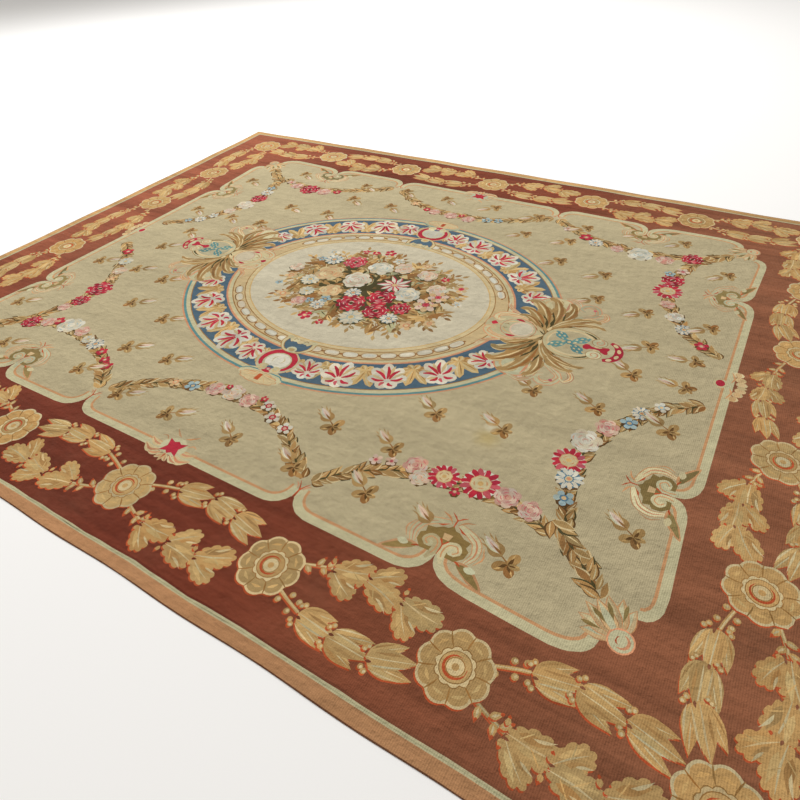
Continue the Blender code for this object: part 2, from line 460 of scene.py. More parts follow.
# The field and its scalloped frame
# The cream field is bounded by flat lobes with round shoulders, edged in pale cream with a salmon line
# inside. The lobes meet at knots, at cusps with volutes, and at the corner bulbs.
KNOT = (0.570, 1.268)
SIDE_CUSP = (1.118, 1.272)
BULB = (1.690, 1.284)
BULB_SIDE_END = (1.640, 1.300)
BULB_END_END = (1.712, 1.200)
END_CUSP = (1.690, 0.705)
FRAME_BAND_WIDTH = 0.031
SALMON_LINE_WIDTH = 0.010
# Columns: start, end, height of the crown over them, length of the round shoulder
LOBES = (
    (KNOT, SIDE_CUSP, 0.112, 0.120),
    (SIDE_CUSP, BULB_SIDE_END, 0.098, 0.150),
    (BULB_END_END, END_CUSP, 0.068, 0.105),
)
SIDE_MIDDLE_CROWN = 0.110
END_MIDDLE_CROWN = 0.092


def lobe(start, end, crown, shoulder, inset=0.0, count=25):
    """Outline of a lobe that stands on the line from start to end, to its right: its height is the crown's,
    less a quarter of a superellipse of power 2.4 on each shoulder. An inset lobe keeps that line."""
    start, end = np.array(start), np.array(end)
    span = np.linalg.norm(end - start)
    forward = (end - start) / span
    outward = np.array([forward[1], -forward[0]])
    reach = shoulder - inset
    ease = (1 - np.cos(np.linspace(0, math.pi / 2, count // 2 + 1)[:-1])) * reach
    distance = np.concatenate([ease, np.linspace(reach, span - 2 * inset - reach, 5),
                               (span - 2 * inset - ease)[::-1]])
    from_shoulder = np.clip(1 - np.minimum(distance, span - 2 * inset - distance) / reach, 0, 1)
    height = (crown - inset) * (1 - from_shoulder ** 2.4) ** (1 / 2.4)
    return start + np.outer(distance + inset, forward) + np.outer(height, outward)


def all_lobes(inset):
    """The fourteen lobes of the frame, each inset."""
    made = []
    for mirror_x, mirror_y in QUARTERS:
        way = -mirror_x * mirror_y
        for start, end, crown, shoulder in LOBES:
            ends = [np.array(p) * (mirror_x, mirror_y) for p in (start, end)]
            made.append(lobe(*ends[::way], crown, shoulder, inset))
    x, y = KNOT
    made += [lobe((-x * way, -y * way), (x * way, -y * way), SIDE_MIDDLE_CROWN, 0.110,
                  inset) for way in (1, -1)]
    x, y = END_CUSP
    made += [lobe((x * way, -y * way), (x * way, y * way), END_MIDDLE_CROWN, 0.115,
                  inset) for way in (1, -1)]
    return made


quarter_corners = (KNOT, SIDE_CUSP, BULB_SIDE_END, BULB_END_END, END_CUSP)
field_corners = np.vstack([np.array(quarter_corners[::-mirror_x * mirror_y]) * (mirror_x, mirror_y)
                           for mirror_x, mirror_y in ((1, -1), (1, 1), (-1, 1), (-1, -1))])
for outline in all_lobes(0.0):
    place([(outline, "band_cream")])
place([(field_corners, "field")])
for outline in all_lobes(FRAME_BAND_WIDTH):
    place([(outline, "salmon")])
for outline in all_lobes(FRAME_BAND_WIDTH + SALMON_LINE_WIDTH):
    place([(outline, "field")])

# The volutes at the cusps
# At each cusp two scrolls roll up under an olive arch with a salmon finial, and an olive leaf with a salmon
# edge lies along the lobe on each side.


def volute_cusp():
    """The cusp's motif, its tip at the origin and the field towards +Y."""
    half = [(-0.028, -0.012), (-0.060, -0.014), (-0.084, 0.012), (-0.086, 0.042), (-0.072, 0.052),
            (-0.078, 0.076),
            (-0.050, 0.080), (-0.030, 0.094), (-0.014, 0.096), (0.0, 0.112)]
    arch = np.vstack([half, (np.array(half) * (-1, 1))[::-1][1:]])
    motif = []
    for side in (-1, 1):
        halo = [(side * 0.092, -0.004), (side * 0.108, 0.040), (side * 0.094, 0.084), (side * 0.056, 0.108),
                (side * 0.016, 0.122)]
        motif.append((stroke(halo, 0.034, 12, 0.5), "salmon"))
        motif.append((stroke(halo, 0.026, 12, 0.5), "band_cream"))
        motif.append((stroke(halo[:4], 0.006, 8, 0.3), "orange_pink"))
        motif.append((stroke([(side * 0.118, 0.004), (side * 0.136, 0.040), (side * 0.122, 0.078)], 0.006,
                             6), "salmon"))
        flank = [(side * 0.066, -0.010), (side * 0.104, -0.004), (side * 0.146, -0.028),
                 (side * 0.180, -0.070),
                 (side * 0.140, -0.064), (side * 0.100, -0.044)]
        motif.append((curve_through(flank, 18, closed=True), "salmon"))
        core = [(side * 0.070, -0.018), (side * 0.104, -0.012), (side * 0.140, -0.033),
                (side * 0.170, -0.065),
                (side * 0.138, -0.058), (side * 0.100, -0.040)]
        motif.append((curve_through(core, 16, closed=True), "olive"))
        motif.append((lobed(0.020, 0.013, 4, 0.15, 12) + (side * 0.118, -0.018), "band_cream"))
        motif.append((stroke([(side * 0.058, -0.010), (side * 0.072, -0.012), (side * 0.086, -0.020)],
                             0.007, 5), "vermilion"))
    motif.append((arch, "olive"))
    for side in (-1, 1):
        roll = curve_through([(side * 0.027, -0.040), (side * 0.019, -0.020), (side * 0.012, 0.006),
                              (side * 0.019, 0.034),
                              (side * 0.044, 0.043), (side * 0.058, 0.024), (side * 0.044, 0.010)], 22)
        motif.append((lobed(0.020, 0.020, count=10) + (side * 0.040, 0.022), "band_cream"))
        girth = np.interp(np.linspace(0, 1, 22), (0, 0.3, 1), (0.010, 0.029, 0.021))
        motif.append((stripe(roll, girth), "band_cream"))
        motif.append((stripe(roll[4:], 0.0045), "salmon"))
        motif.append((stroke([(side * 0.050, 0.096), (side * 0.036, 0.100), (side * 0.018, 0.112)], 0.007,
                             5), "vermilion"))
        motif.append((stroke([(side * 0.010, 0.118), (side * 0.030, 0.140), (side * 0.058, 0.150)], 0.007,
                             6), "salmon"))
        motif.append((stroke([(0.0, 0.134), (side * 0.012, 0.148), (side * 0.028, 0.160)], 0.006, 5),
                      "vermilion"))
    motif.append((np.array([(-0.011, 0.050), (0.011, 0.050), (0.016, 0.074), (-0.016, 0.074)]), "peach"))
    for side in (-1, 1):
        motif.append((stroke([(0.0, 0.026), (side * 0.010, 0.044), (side * 0.018, 0.048)], 0.006, 5),
                      "vermilion"))
    motif.append((stroke([(0.0, -0.012), (0.0, 0.012), (0.0, 0.036)], 0.006, 5), "vermilion"))
    motif.append((stroke([(0.0, 0.106), (0.0, 0.124), (0.0, 0.142)], 0.007, 5), "vermilion"))
    return motif


def knot():
    """Salmon lines that cross where two lobes meet, the field towards +Y."""
    lines = [(stroke([(side * 0.006, -0.05), (side * 0.012, -0.015), (0.0, 0.0)], 0.010, 5), "band_cream")
             for side in (-1, 1)]
    lines += [(lobed(0.016, 0.014, count=10), "band_cream")]
    for side in (-1, 1):
        lines.append((stroke([(side * 0.004, -0.05), (side * -0.001, -0.01), (side * -0.022, 0.026)], 0.006,
                             6),
                      "vermilion"))
        lines.append((stroke([(side * 0.012, -0.012), (side * 0.020, 0.008), (side * 0.034, 0.016)], 0.005,
                             5),
                      "orange_pink"))
    return lines


for mirror in QUARTERS:
    place(volute_cusp(), SIDE_CUSP, 180, mirror=mirror)
    place(volute_cusp(), END_CUSP, 90, 0.96, mirror=mirror)
    place(knot(), KNOT, 180, mirror=mirror)

# The red jewels and their fringes
# In the middle of each long side a crimson jewel and of each short side a crimson dot lies in a fringe of
# peach leaves, whose tips run out over the madder border.


def jewel():
    """The long side's motif at the frame's crown, the border towards -Y."""
    motif = []
    for side in (-1, 1):
        for start, tip, bend, width in (((0.034, -0.022), (0.118, -0.020), 0.020, 0.034),
                                        ((0.036, 0.004), (0.120, 0.016), 0.014, 0.026),
                                        ((0.020, -0.030), (0.074, -0.052), 0.008, 0.024),
                                        ((0.006, -0.030), (0.028, -0.064), 0.004, 0.022)):
            start, tip = np.array(start) * (side, 1), np.array(tip) * (side, 1)
            middle = (start + tip) / 2 + (0.0, -bend)
            motif.append((stroke([start, middle, tip], width, 8, 0.2), "straw"))
            motif.append((stroke([start, middle, tip], width * 0.34, 6, 0.2), "orange_pink"))
        motif.append((stroke([(side * 0.012, 0.062), (side * 0.034, 0.072), (side * 0.060, 0.094)], 0.008,
                             6), "salmon"))
        motif.append((stroke([(side * 0.050, 0.026), (side * 0.070, 0.046), (side * 0.092, 0.040)], 0.006,
                             6), "salmon"))
    motif.append((turned(leaf(0.052, 0.030, count=7, teeth=3), -90, (0.0, -0.022)), "peach"))
    motif.append((turned(leaf(0.034, 0.008, count=4), -90, (0.0, -0.026)), "vermilion"))
    motif.append((curve_through([(-0.060, 0.022), (0.0, 0.060), (0.060, 0.022), (0.044, -0.026),
                                 (0.0, -0.030),
                                 (-0.044, -0.026)], 20, closed=True), "band_cream"))
    body = [(-0.046, 0.042), (-0.016, 0.032), (0.0, 0.041), (0.016, 0.032), (0.046, 0.042), (0.029, 0.006),
            (0.044, -0.028), (0.015, -0.017), (0.0, -0.029), (-0.015, -0.017), (-0.044, -0.028),
            (-0.029, 0.006)]
    return motif + [(np.array(body), "crimson")]


def dot():
    """The short side's motif at the frame's crown, the border towards -Y."""
    motif = []
    for side in (-1, 1):
        for reach, drop in ((0.022, -0.030), (0.052, -0.022), (0.086, -0.010)):
            bump = lobed(0.018, 0.022, count=9) + (side * reach, drop)
            motif += [(bump, "straw"), (bump * (1.0, 0.6) + (0.0, drop * 0.4), "peach")]
        motif.append((stroke([(side * 0.020, 0.010), (side * 0.052, 0.000), (side * 0.096, 0.016)], 0.008,
                             7), "salmon"))
        motif.append((stroke([(side * 0.016, 0.074), (side * 0.030, 0.052), (side * 0.034, 0.026)], 0.006,
                             6), "salmon"))
    motif.append((turned(leaf(0.040, 0.026, count=6), -90, (0.0, -0.014)), "straw"))
    motif.append((lobed(0.032, 0.028, count=12) + (0.0, 0.048), "band_cream"))
    motif.append((lobed(0.023, 0.018, count=12) + (0.0, 0.048), "crimson"))
    return motif


for way in (1, -1):
    place(jewel(), (0.0, -way * (KNOT[1] + SIDE_MIDDLE_CROWN - 0.028)), 0 if way > 0 else 180)
    place(dot(), (way * (END_CUSP[0] + END_MIDDLE_CROWN - 0.002), 0.0), 90 if way > 0 else -90)

# The corner palmettes
# In each corner the stem ends in a fan of pale leaves with olive darts, tied to a small ringed bulb.


def palmette():
    """The corner's motif, its bulb at the origin and its leaves fanned about +Y."""
    motif = []
    for angle, length in ((148, 0.105), (32, 0.105), (126, 0.122), (54, 0.122), (106, 0.130), (74, 0.130),
                          (90, 0.125)):
        motif.append((turned(leaf(length, 0.048, belly=0.85, count=8), angle, (0.0, 0.012)), "salmon"))
        motif.append((turned(leaf(length * 0.97, 0.041, belly=0.85, count=8), angle, (0.0, 0.012)),
                      "peach"))
        motif.append((turned(leaf(length * 0.90, 0.024, belly=0.85, count=6), angle, (0.0, 0.016)),
                      "band_cream"))
    for angle in (46, 76, 104, 134):
        motif.append((turned(leaf(0.062, 0.014, belly=1.4, count=7), angle,
                             (0.045 * math.cos(math.radians(angle)),
                              0.012 + 0.045 * math.sin(math.radians(angle)))),
                      "olive"))
    motif += [(lobed(0.039, count=16), "orange_pink"), (lobed(0.034, count=16), "band_cream"),
              (stroke(arc((0.0, 0.0), 0.022, 0.022, 150, 330, 6), 0.009, 8), "orange_pink"),
              (stroke(arc((0.0, 0.0), 0.014, 0.014, -30, 110, 5), 0.005, 6), "vermilion")]
    return motif


for mirror in QUARTERS:
    place(palmette(), BULB, 135, mirror=mirror)

# The garlands
# Swags of gold-brown leaves with dark shading hang inside the frame from knot to knot and from the knots and
# the red dots to the corners. Their middles are thick with roses, daisies and small blue flowers.
LEAF_STEP = 0.0265
LEAF_LENGTH = 0.056
LEAF_WIDTH = 0.0215
draws = np.random.default_rng(1793)


def garland(points, size=1.0):
    """A leafy stem along a curve through the points: at even steps a leaf on each side leans 30 to 54 degrees
    from the stem and away from its nearer end, over the next leaf's foot, and some have a dark or pale edge.
    Dark green gaps lie along the stem."""
    curve = curve_through(points, 200)
    way = np.concatenate([[0], np.cumsum(np.linalg.norm(np.diff(curve, axis=0), axis=1))])
    steps = np.arange(0.006, way[-1] - 0.010, LEAF_STEP * size)
    at = np.stack([np.interp(steps, way, curve[:, 0]), np.interp(steps, way, curve[:, 1])], 1)
    slope = np.gradient(at, axis=0)
    heading = np.degrees(np.arctan2(slope[:, 1], slope[:, 0]))
    half = len(at) / 2
    place([(stripe(at[::3], 0.022 * size), "leaf_brown")])
    for i in sorted(range(len(at)), key=lambda i: abs(i - half)):
        outwards = 0 if i < half else 180
        for side in (1, -1):
            length = LEAF_LENGTH * draws.uniform(0.85, 1.20) * size
            width = LEAF_WIDTH * draws.uniform(0.85, 1.20) * size
            dye = ("leaf_gold", "leaf_brown", "tan_gold",
                   "gold")[draws.choice(4, p=(0.42, 0.18, 0.24, 0.16))]
            angle = heading[i] + outwards + side * draws.uniform(30, 54)
            edge_dye = ("dark_olive", "straw", None, "umber")[(3 * i + side) % 4]
            if edge_dye:
                place([(leaf(length * 1.05, width * 1.38, -0.14 * side, 0.85, 6) - (0.0, 0.0016),
                        edge_dye)], at[i], angle)
            place([(leaf(length, width, -0.14 * side, 0.85, 6), dye)], at[i], angle)
            if (i + side) % 4 != 1:
                rib = leaf(length * 0.80, width * 0.24, -0.14 * side, 0.85,
                           4) + (0.005, side * width * 0.10)
                place([(rib, "leaf_brown" if dye == "gold" else "straw")], at[i], angle)
        if i % 2:
            place([(leaf(0.032 * size, 0.0105 * size, 0.0, 0.9, 5), "dark_olive")], at[i],
                  heading[i] + outwards)


def petals(count, length, width, dyes, start=0.0, jitter=0.07):
    """A ring of round petals about the origin, ellipses from 0.28 of the length to its end, with the dyes in
    turn, and each a little longer or shorter and a little out of its even place."""
    ring = []
    for number in range(count):
        reach = length * (1 + draws.uniform(-jitter, jitter))
        angle = start + 360 / count * (number + draws.uniform(-0.14, 0.14))
        ring.append((turned(lobed(0.36 * reach, width / 2, count=8) + (0.64 * reach, 0.0), angle),
                     dyes[number % len(dyes)]))
    return ring


def curls(count, radius, width, dye, start=0.0):
    """Short curved strokes round the origin, as a rolled petal's edge shows."""
    span = 250 / count
    return [(stroke(arc((0.0, 0.0), radius, 0.92 * radius, start + 360 / count * number,
                        start + 360 / count * number + span, 4), width, 5, 0.2),
                        dye) for number in range(count)]


def rose(base, light, dark):
    """A rose of radius 1: two rings of broad round petals, their edges drawn by curls, and a curled heart."""
    motif = petals(7, 1.04, 0.82, (base, light))
    motif += curls(6, 0.80, 0.075, dark, 12)
    motif += petals(5, 0.74, 0.66, (light, base), 30)
    motif += curls(4, 0.50, 0.085, dark, 60)
    motif += [(lobed(0.34, 0.30, count=8), base)]
    return motif + curls(1, 0.20, 0.10, dark, 20)


def full_rose(base, light, dark):
    """A full dark rose of radius 1: many petals in two rings, pale edges on them and dark folds between."""
    motif = petals(10, 1.05, 0.52, (base, dark, base))
    motif += curls(8, 0.84, 0.080, light, 8)
    motif += petals(7, 0.74, 0.46, (base, "rose", dark), 20)
    motif += curls(6, 0.55, 0.080, light, 40)
    motif += petals(4, 0.40, 0.36, (dark, base), 10)
    return motif + curls(2, 0.22, 0.085, light, 70)


def daisy(petal, gap, heart, count=11):
    """A daisy of radius 1: narrow round petals over a disc that shows between them, and a ringed heart."""
    motif = [(lobed(0.90, None, 9, 0.12, 27), gap)]
    motif += petals(count, 1.05, 0.36, (petal,), 0.0, 0.05)
    motif += [(turned(leaf(0.50, 0.09, 0.0, 0.8, 4) + (0.24, 0.0), 360 / 6 * number + 12),
               gap) for number in range(6)]
    return motif + [(lobed(0.36, 0.34, count=9), gap), (lobed(0.29, 0.27, count=9), "straw"),
                    (lobed(0.17, count=7), heart)]


def zinnia():
    """The big red flower of radius 1: blunt crimson and rose petals with pale gaps, and a cream heart."""
    motif = [(lobed(0.96, None, 14, 0.10, 42), "white")]
    motif += petals(14, 1.05, 0.36, ("crimson", "rose", "crimson", "crimson"), 0.0, 0.05)
    motif += [(turned(leaf(0.44, 0.07, count=4) + (0.50, 0.0), 360 / 7 * number + 9),
               "pale_pink") for number in range(7)]
    motif += [(lobed(0.57, None, 8, 0.22, 24), "salmon"), (lobed(0.52, None, 8, 0.26, 24), "straw")]
    motif += curls(4, 0.34, 0.10, "salmon", 10)
    return motif + [(lobed(0.17, count=6), "gold")]


def floret(petal, ring, heart):
    """A small five-petalled flower of radius 1 with a ring around its heart."""
    return petals(5, 1.06, 0.76, (petal,), 18, 0.05) + [(lobed(0.46, count=9), ring),
                                                        (lobed(0.27, count=7), heart)]


def lily():
    """A starry flower of radius 1: ten narrow white petals, each with a crimson edge on one side."""
    motif = []
    for number in range(10):
        reach = 1.0 if number % 2 else 0.84
        motif.append((turned(leaf(reach, 0.27, 0.1, 1.0, 6) + (0.0, -0.03), 36 * number),
                      "crimson" if number % 3 else "rose"))
        motif.append((turned(leaf(reach * 0.96, 0.22, 0.1, 1.0, 6) + (0.02, 0.03), 36 * number), "white"))
    return motif + [(lobed(0.16, count=7), "pale_gold")]


FLOWERS = {
    "crimson_rose": full_rose("crimson", "pale_pink", "wine"),
    "rose_rose": full_rose("rose", "pale_pink", "crimson"),
    "pink_rose": rose("pink", "pale_pink", "rose"),
    "blush_rose": rose("pale_pink", "oval", "salmon"),
    "white_rose": rose("white", "oval", "pink"),
    "cool_rose": rose("white", "oval", "sky"),
    "peach_rose": rose("peach", "straw", "orange_pink"),
    "crimson_daisy": zinnia(),
    "blue_daisy": daisy("white", "blue", "orange_pink"),
    "white_daisy": daisy("oval", "sky", "gold", 12),
    "lily": lily(),
    "red_floret": floret("white", "crimson", "pink"),
    "crimson_floret": floret("crimson", "rose", "straw"),
    "blue_floret": floret("sky", "blue", "peach"),
    "white_floret": floret("white", "sky", "peach"),
    "peach_floret": floret("peach", "orange_pink", "straw"),
    "coral_floret": floret("peach", "rose", "crimson"),
    "coral_daisy": petals(8, 1.05, 0.62, ("peach", "pale_pink")) + curls(6, 0.62, 0.07, "rose", 15)
    + [(lobed(0.34, None, 5, 0.25, 15), "rose"), (lobed(0.16, count=6), "crimson")],
    "pink_floret": floret("pale_pink", "pink", "rose"),
}

# Stems: points from one end to the other
STEMS = (
    ((0.55, -1.235), (0.44, -1.155), (0.33, -1.075), (0.20, -1.015), (0.03, -0.992), (-0.12, -0.998),
     (-0.27, -1.040),
     (-0.42, -1.110), (-0.555, -1.225)),
    ((0.58, -1.235), (0.66, -1.145), (0.77, -1.065), (0.90, -1.015), (1.05, -0.990), (1.20, -0.990),
     (1.32, -1.010),
     (1.42, -1.050)),
    ((-0.58, -1.235), (-0.66, -1.155), (-0.77, -1.080), (-0.90, -1.025), (-1.05, -0.990), (-1.20, -0.975),
     (-1.32, -1.000), (-1.42, -1.045)),
    ((0.56, 1.235), (0.45, 1.150), (0.33, 1.080), (0.20, 1.035), (0.02, 1.015), (-0.16, 1.025),
     (-0.32, 1.075),
     (-0.44, 1.150), (-0.55, 1.240)),
    ((0.59, 1.235), (0.69, 1.150), (0.80, 1.085), (0.94, 1.035), (1.10, 1.015), (1.25, 1.020),
     (1.36, 1.040),
     (1.43, 1.070)),
    ((-0.59, 1.235), (-0.72, 1.135), (-0.87, 1.060), (-1.02, 1.010), (-1.18, 1.000), (-1.30, 1.020),
     (-1.42, 1.080)),
    ((1.71, -0.175), (1.62, -0.240), (1.55, -0.300), (1.48, -0.400), (1.42, -0.500), (1.38, -0.620),
     (1.37, -0.740),
     (1.385, -0.850), (1.42, -0.960), (1.45, -1.020)),
    ((1.71, 0.165), (1.62, 0.235), (1.54, 0.310), (1.47, 0.410), (1.41, 0.520), (1.38, 0.640),
     (1.38, 0.760),
     (1.40, 0.870), (1.43, 0.970), (1.46, 1.050)),
    ((-1.70, 0.140), (-1.60, 0.200), (-1.51, 0.270), (-1.44, 0.380), (-1.39, 0.500), (-1.365, 0.620),
     (-1.365, 0.760),
     (-1.39, 0.880), (-1.42, 0.970), (-1.46, 1.060)),
    ((-1.69, -0.160), (-1.60, -0.230), (-1.52, -0.310), (-1.45, -0.420), (-1.38, -0.520), (-1.35, -0.640),
     (-1.35, -0.770), (-1.375, -0.890), (-1.42, -0.980), (-1.46, -1.040)),
)
CORNER_STEM = ((1.38, 0.985), (1.46, 1.045), (1.53, 1.110), (1.585, 1.165), (1.625, 1.210))

# Flowers on the stems. Columns: kind, place along X, place along Y, radius
STEM_FLOWERS = (
    ("pink_rose", -0.115, -1.000, 0.043), ("pink_rose", 0.066, -0.992, 0.042),
    ("blush_rose", -0.028, -0.985, 0.050),
    ("red_floret", 0.165, -0.980, 0.032), ("red_floret", 0.226, -1.028, 0.034),
    ("red_floret", 0.314, -1.057, 0.032),
    ("blue_floret", -0.222, -1.030, 0.034), ("peach_floret", -0.312, -1.045, 0.030),
    ("crimson_floret", 0.120, -0.955, 0.018), ("crimson_floret", -0.070, -0.960, 0.016),
    ("pink_floret", 0.725, -1.030, 0.026), ("pink_floret", 0.780, -1.010, 0.024),
    ("pink_rose", 0.868, -0.985, 0.045), ("blush_rose", 0.912, -1.030, 0.038),
    ("crimson_daisy", 0.985, -0.985, 0.056), ("crimson_daisy", 1.112, -0.955, 0.070),
    ("pink_rose", 1.218, -0.968, 0.046), ("pink_rose", 1.306, -0.986, 0.042),
    ("crimson_floret", 1.050, -1.030, 0.020),
    ("crimson_floret", -0.700, -1.105, 0.030), ("crimson_floret", -0.745, -1.078, 0.026),
    ("crimson_floret", -0.815, -1.040, 0.028), ("blue_daisy", -0.900, -1.010, 0.045),
    ("white_daisy", -0.970, -1.000, 0.034), ("cool_rose", -1.165, -0.955, 0.066),
    ("pink_rose", -1.060, -0.965, 0.040),
    ("crimson_floret", -1.258, -0.955, 0.034), ("pink_rose", -1.300, -0.985, 0.040),
    ("crimson_rose", -1.385, -1.025, 0.050),
    ("pink_rose", -0.155, 1.000, 0.040), ("pink_rose", -0.035, 0.995, 0.044),
    ("pink_rose", 0.090, 0.990, 0.042),
    ("crimson_floret", 0.030, 1.020, 0.022), ("crimson_floret", -0.215, 1.015, 0.026),
    ("blue_floret", 0.200, 1.025, 0.034), ("blue_floret", 0.268, 1.045, 0.030),
    ("peach_floret", -0.330, 1.065, 0.034),
    ("pink_floret", 0.690, 1.125, 0.032), ("crimson_floret", 0.820, 1.060, 0.040),
    ("blue_daisy", 0.890, 1.015, 0.044),
    ("pink_rose", 1.020, 0.995, 0.038), ("cool_rose", 1.150, 0.985, 0.072),
    ("pink_rose", 1.285, 0.975, 0.048),
    ("crimson_rose", 1.415, 1.045, 0.056),
    ("crimson_rose", -1.125, 0.970, 0.072), ("pink_rose", -1.010, 0.980, 0.052),
    ("pink_rose", -1.250, 0.990, 0.046),
    ("pink_floret", -1.330, 1.030, 0.034), ("crimson_floret", -0.920, 1.010, 0.030),
    ("white_floret", 1.560, -0.265, 0.030), ("blue_daisy", 1.502, -0.335, 0.040),
    ("blue_floret", 1.475, -0.412, 0.034),
    ("pink_rose", 1.410, -0.475, 0.046), ("white_rose", 1.360, -0.580, 0.060),
    ("crimson_daisy", 1.340, -0.705, 0.062), ("blue_daisy", 1.370, -0.790, 0.050),
    ("blue_floret", 1.385, -0.880, 0.034),
    ("crimson_floret", 1.615, 0.232, 0.032), ("blue_daisy", 1.520, 0.330, 0.042),
    ("white_rose", 1.460, 0.420, 0.044),
    ("pink_rose", 1.405, 0.520, 0.036), ("crimson_daisy", 1.375, 0.650, 0.072),
    ("crimson_rose", 1.375, 0.770, 0.058),
    ("blue_floret", 1.345, 0.835, 0.028), ("pink_floret", 1.400, 0.885, 0.034),
    ("blue_floret", -1.560, 0.238, 0.026), ("blue_daisy", -1.495, 0.280, 0.040),
    ("white_floret", -1.455, 0.360, 0.034),
    ("blush_rose", -1.405, 0.460, 0.042), ("white_rose", -1.370, 0.580, 0.062),
    ("crimson_rose", -1.355, 0.700, 0.056),
    ("blue_daisy", -1.370, 0.805, 0.046), ("blue_floret", -1.395, 0.880, 0.030),
    ("crimson_floret", -1.570, -0.250, 0.034), ("white_daisy", -1.480, -0.345, 0.044),
    ("blush_rose", -1.415, -0.440, 0.042), ("peach_floret", -1.385, -0.525, 0.032),
    ("crimson_rose", -1.345, -0.635, 0.070), ("crimson_rose", -1.335, -0.765, 0.050),
    ("pink_rose", -1.360, -0.850, 0.036),
)
for stem in STEMS:
    garland(stem)
for mirror_x, mirror_y in QUARTERS:
    garland([(x * mirror_x, y * mirror_y) for x, y in CORNER_STEM], 1.12)
for number, (kind, x, y, radius) in enumerate(STEM_FLOWERS):
    place([(lobed(radius * 0.96, None, 6, 0.30, 18, 31.0 * number) + (0.003, -0.008), "umber")], (x, y))
    place(FLOWERS[kind], (x, y), 47.0 * number, radius)

# The scattered sprigs
# Small sprigs fill the field between the swags: a pale bud with gold tips on a stalk with four brown leaves,
# all pointing to the medallion.
SPRIG_PLACES = ((0.17, 1.205), (0.47, 1.210), (0.475, 0.950), (0.785, 1.180), (0.770, 0.700),
                (0.745, 0.950),
                (1.050, 0.670), (1.075, 0.410), (1.330, 1.195), (1.410, 0.105), (1.320, 0.385),
                (1.625, 0.395),
                (1.615, 0.930))
SPRIG_HEADING = 146.0


def sprig():
    """A sprig whose bud points to +X and whose leaves spread from the origin."""
    motif = [(stroke([(-0.040, 0.004), (0.0, -0.002), (0.045, 0.0)], 0.006, 5), "leaf_brown")]
    for angle, length, width, dye in ((-76, 0.052, 0.036, "leaf_gold"), (66, 0.052, 0.038, "leaf_gold"),
                                      (148, 0.046, 0.034, "leaf_brown"), (-146, 0.038, 0.022, "leaf_gold")):
        foot = np.array((-0.010, 0.0))
        motif.append((turned(lobed(length / 2, width / 2, 5, 0.08, 15) + (length / 2, 0.0), angle, foot),
                      dye))
        motif.append((turned(leaf(length * 0.62, width * 0.34, 0.10, 0.8, 5), angle, foot), "umber"))
        motif.append((turned(leaf(length * 0.5, 0.007, 0.10, count=4) + (length * 0.42, 0.006), angle,
                             foot), "gold"))
    for angle, length in ((22, 0.074), (12, 0.090), (0, 0.095), (-12, 0.090), (-22, 0.074)):
        motif.append((turned(leaf(length, 0.0125, count=5), angle, (0.034, 0.0)), "leaf_gold"))
    motif.append((leaf(0.084, 0.056, 0.0, 0.66, 8) + (0.024, 0.0), "leaf_gold"))
    for angle, length, dye in ((16, 0.068, "band_cream"), (-16, 0.068, "pale_gold"), (6, 0.078, "white"),
                               (-7, 0.076, "pale_pink")):
        motif.append((turned(leaf(length, 0.019, -0.10 * math.copysign(1, angle), 0.9, 6), angle,
                             (0.038, 0.0)), dye))
    motif.append((leaf(0.046, 0.006, count=4) + (0.050, 0.0), "pink"))
    motif.append((turned(leaf(0.044, 0.010, count=4), 6, (0.030, -0.005)), "leaf_brown"))
    return motif


def bud_only():
    """The bud of a sprig without its leaves, pointing to +X."""
    return [(outline - (0.075, 0.0), dye) for outline, dye in sprig()[13:]]


for mirror_x, mirror_y in QUARTERS:
    for x, y in SPRIG_PLACES:
        wander = draws.normal(0, 0.008, 2)
        at = (x + wander[0], -y + wander[1])
        place(sprig(), at, SPRIG_HEADING + draws.normal(0, 4), draws.uniform(0.94, 1.06),
              mirror=(mirror_x, -mirror_y))
for x, y in ((1.000, -1.160), (1.035, 1.185)):
    place(bud_only(), (x, y), SPRIG_HEADING if y < 0 else -SPRIG_HEADING)
for side in (1, -1):
    place(sprig(), (1.610, side * 0.100), 180 + side * 8, 0.95, side)

# The medallion's rings
# An oval stands in the middle. From outside in: a tan and teal line, a cream band, a slate blue ring, orange
# and cream lines, a string of long white beads between gold lines, and a pale cream ground.
MEDALLION_CENTRE = np.array([-0.010, -0.002])
# Columns: half length along X, half width along Y, dye
RINGS = (
    (1.034, 0.849, "orange_pink"),
    (1.026, 0.841, "teal"),
    (1.012, 0.829, "band_cream"),
    (0.992, 0.808, "tan"),
    (0.987, 0.803, "slate"),
    (0.800, 0.630, "orange_pink"),
    (0.790, 0.620, "straw"),
    (0.782, 0.613, "band_cream"),
    (0.767, 0.603, "tan"),
    (0.761, 0.597, "pale_gold"),
    (0.697, 0.546, "tan"),
    (0.692, 0.541, "straw"),
    (0.670, 0.524, "gold"),
    (0.664, 0.518, "oval"),
)
for radius_x, radius_y, dye in RINGS:
    place([(lobed(radius_x, radius_y, count=112), dye)], MEDALLION_CENTRE)


def on_ring(radius_x, radius_y, angle):
    """A point of a ring at an angle in degrees, and the outward heading there."""
    a = math.radians(angle)
    at = MEDALLION_CENTRE + (radius_x * math.cos(a), radius_y * math.sin(a))
    return at, math.degrees(math.atan2(math.sin(a) / radius_y, math.cos(a) / radius_x))


BEAD_LENGTH = 0.078
BEAD_WIDTH = 0.044
BEAD_COUNT = 50


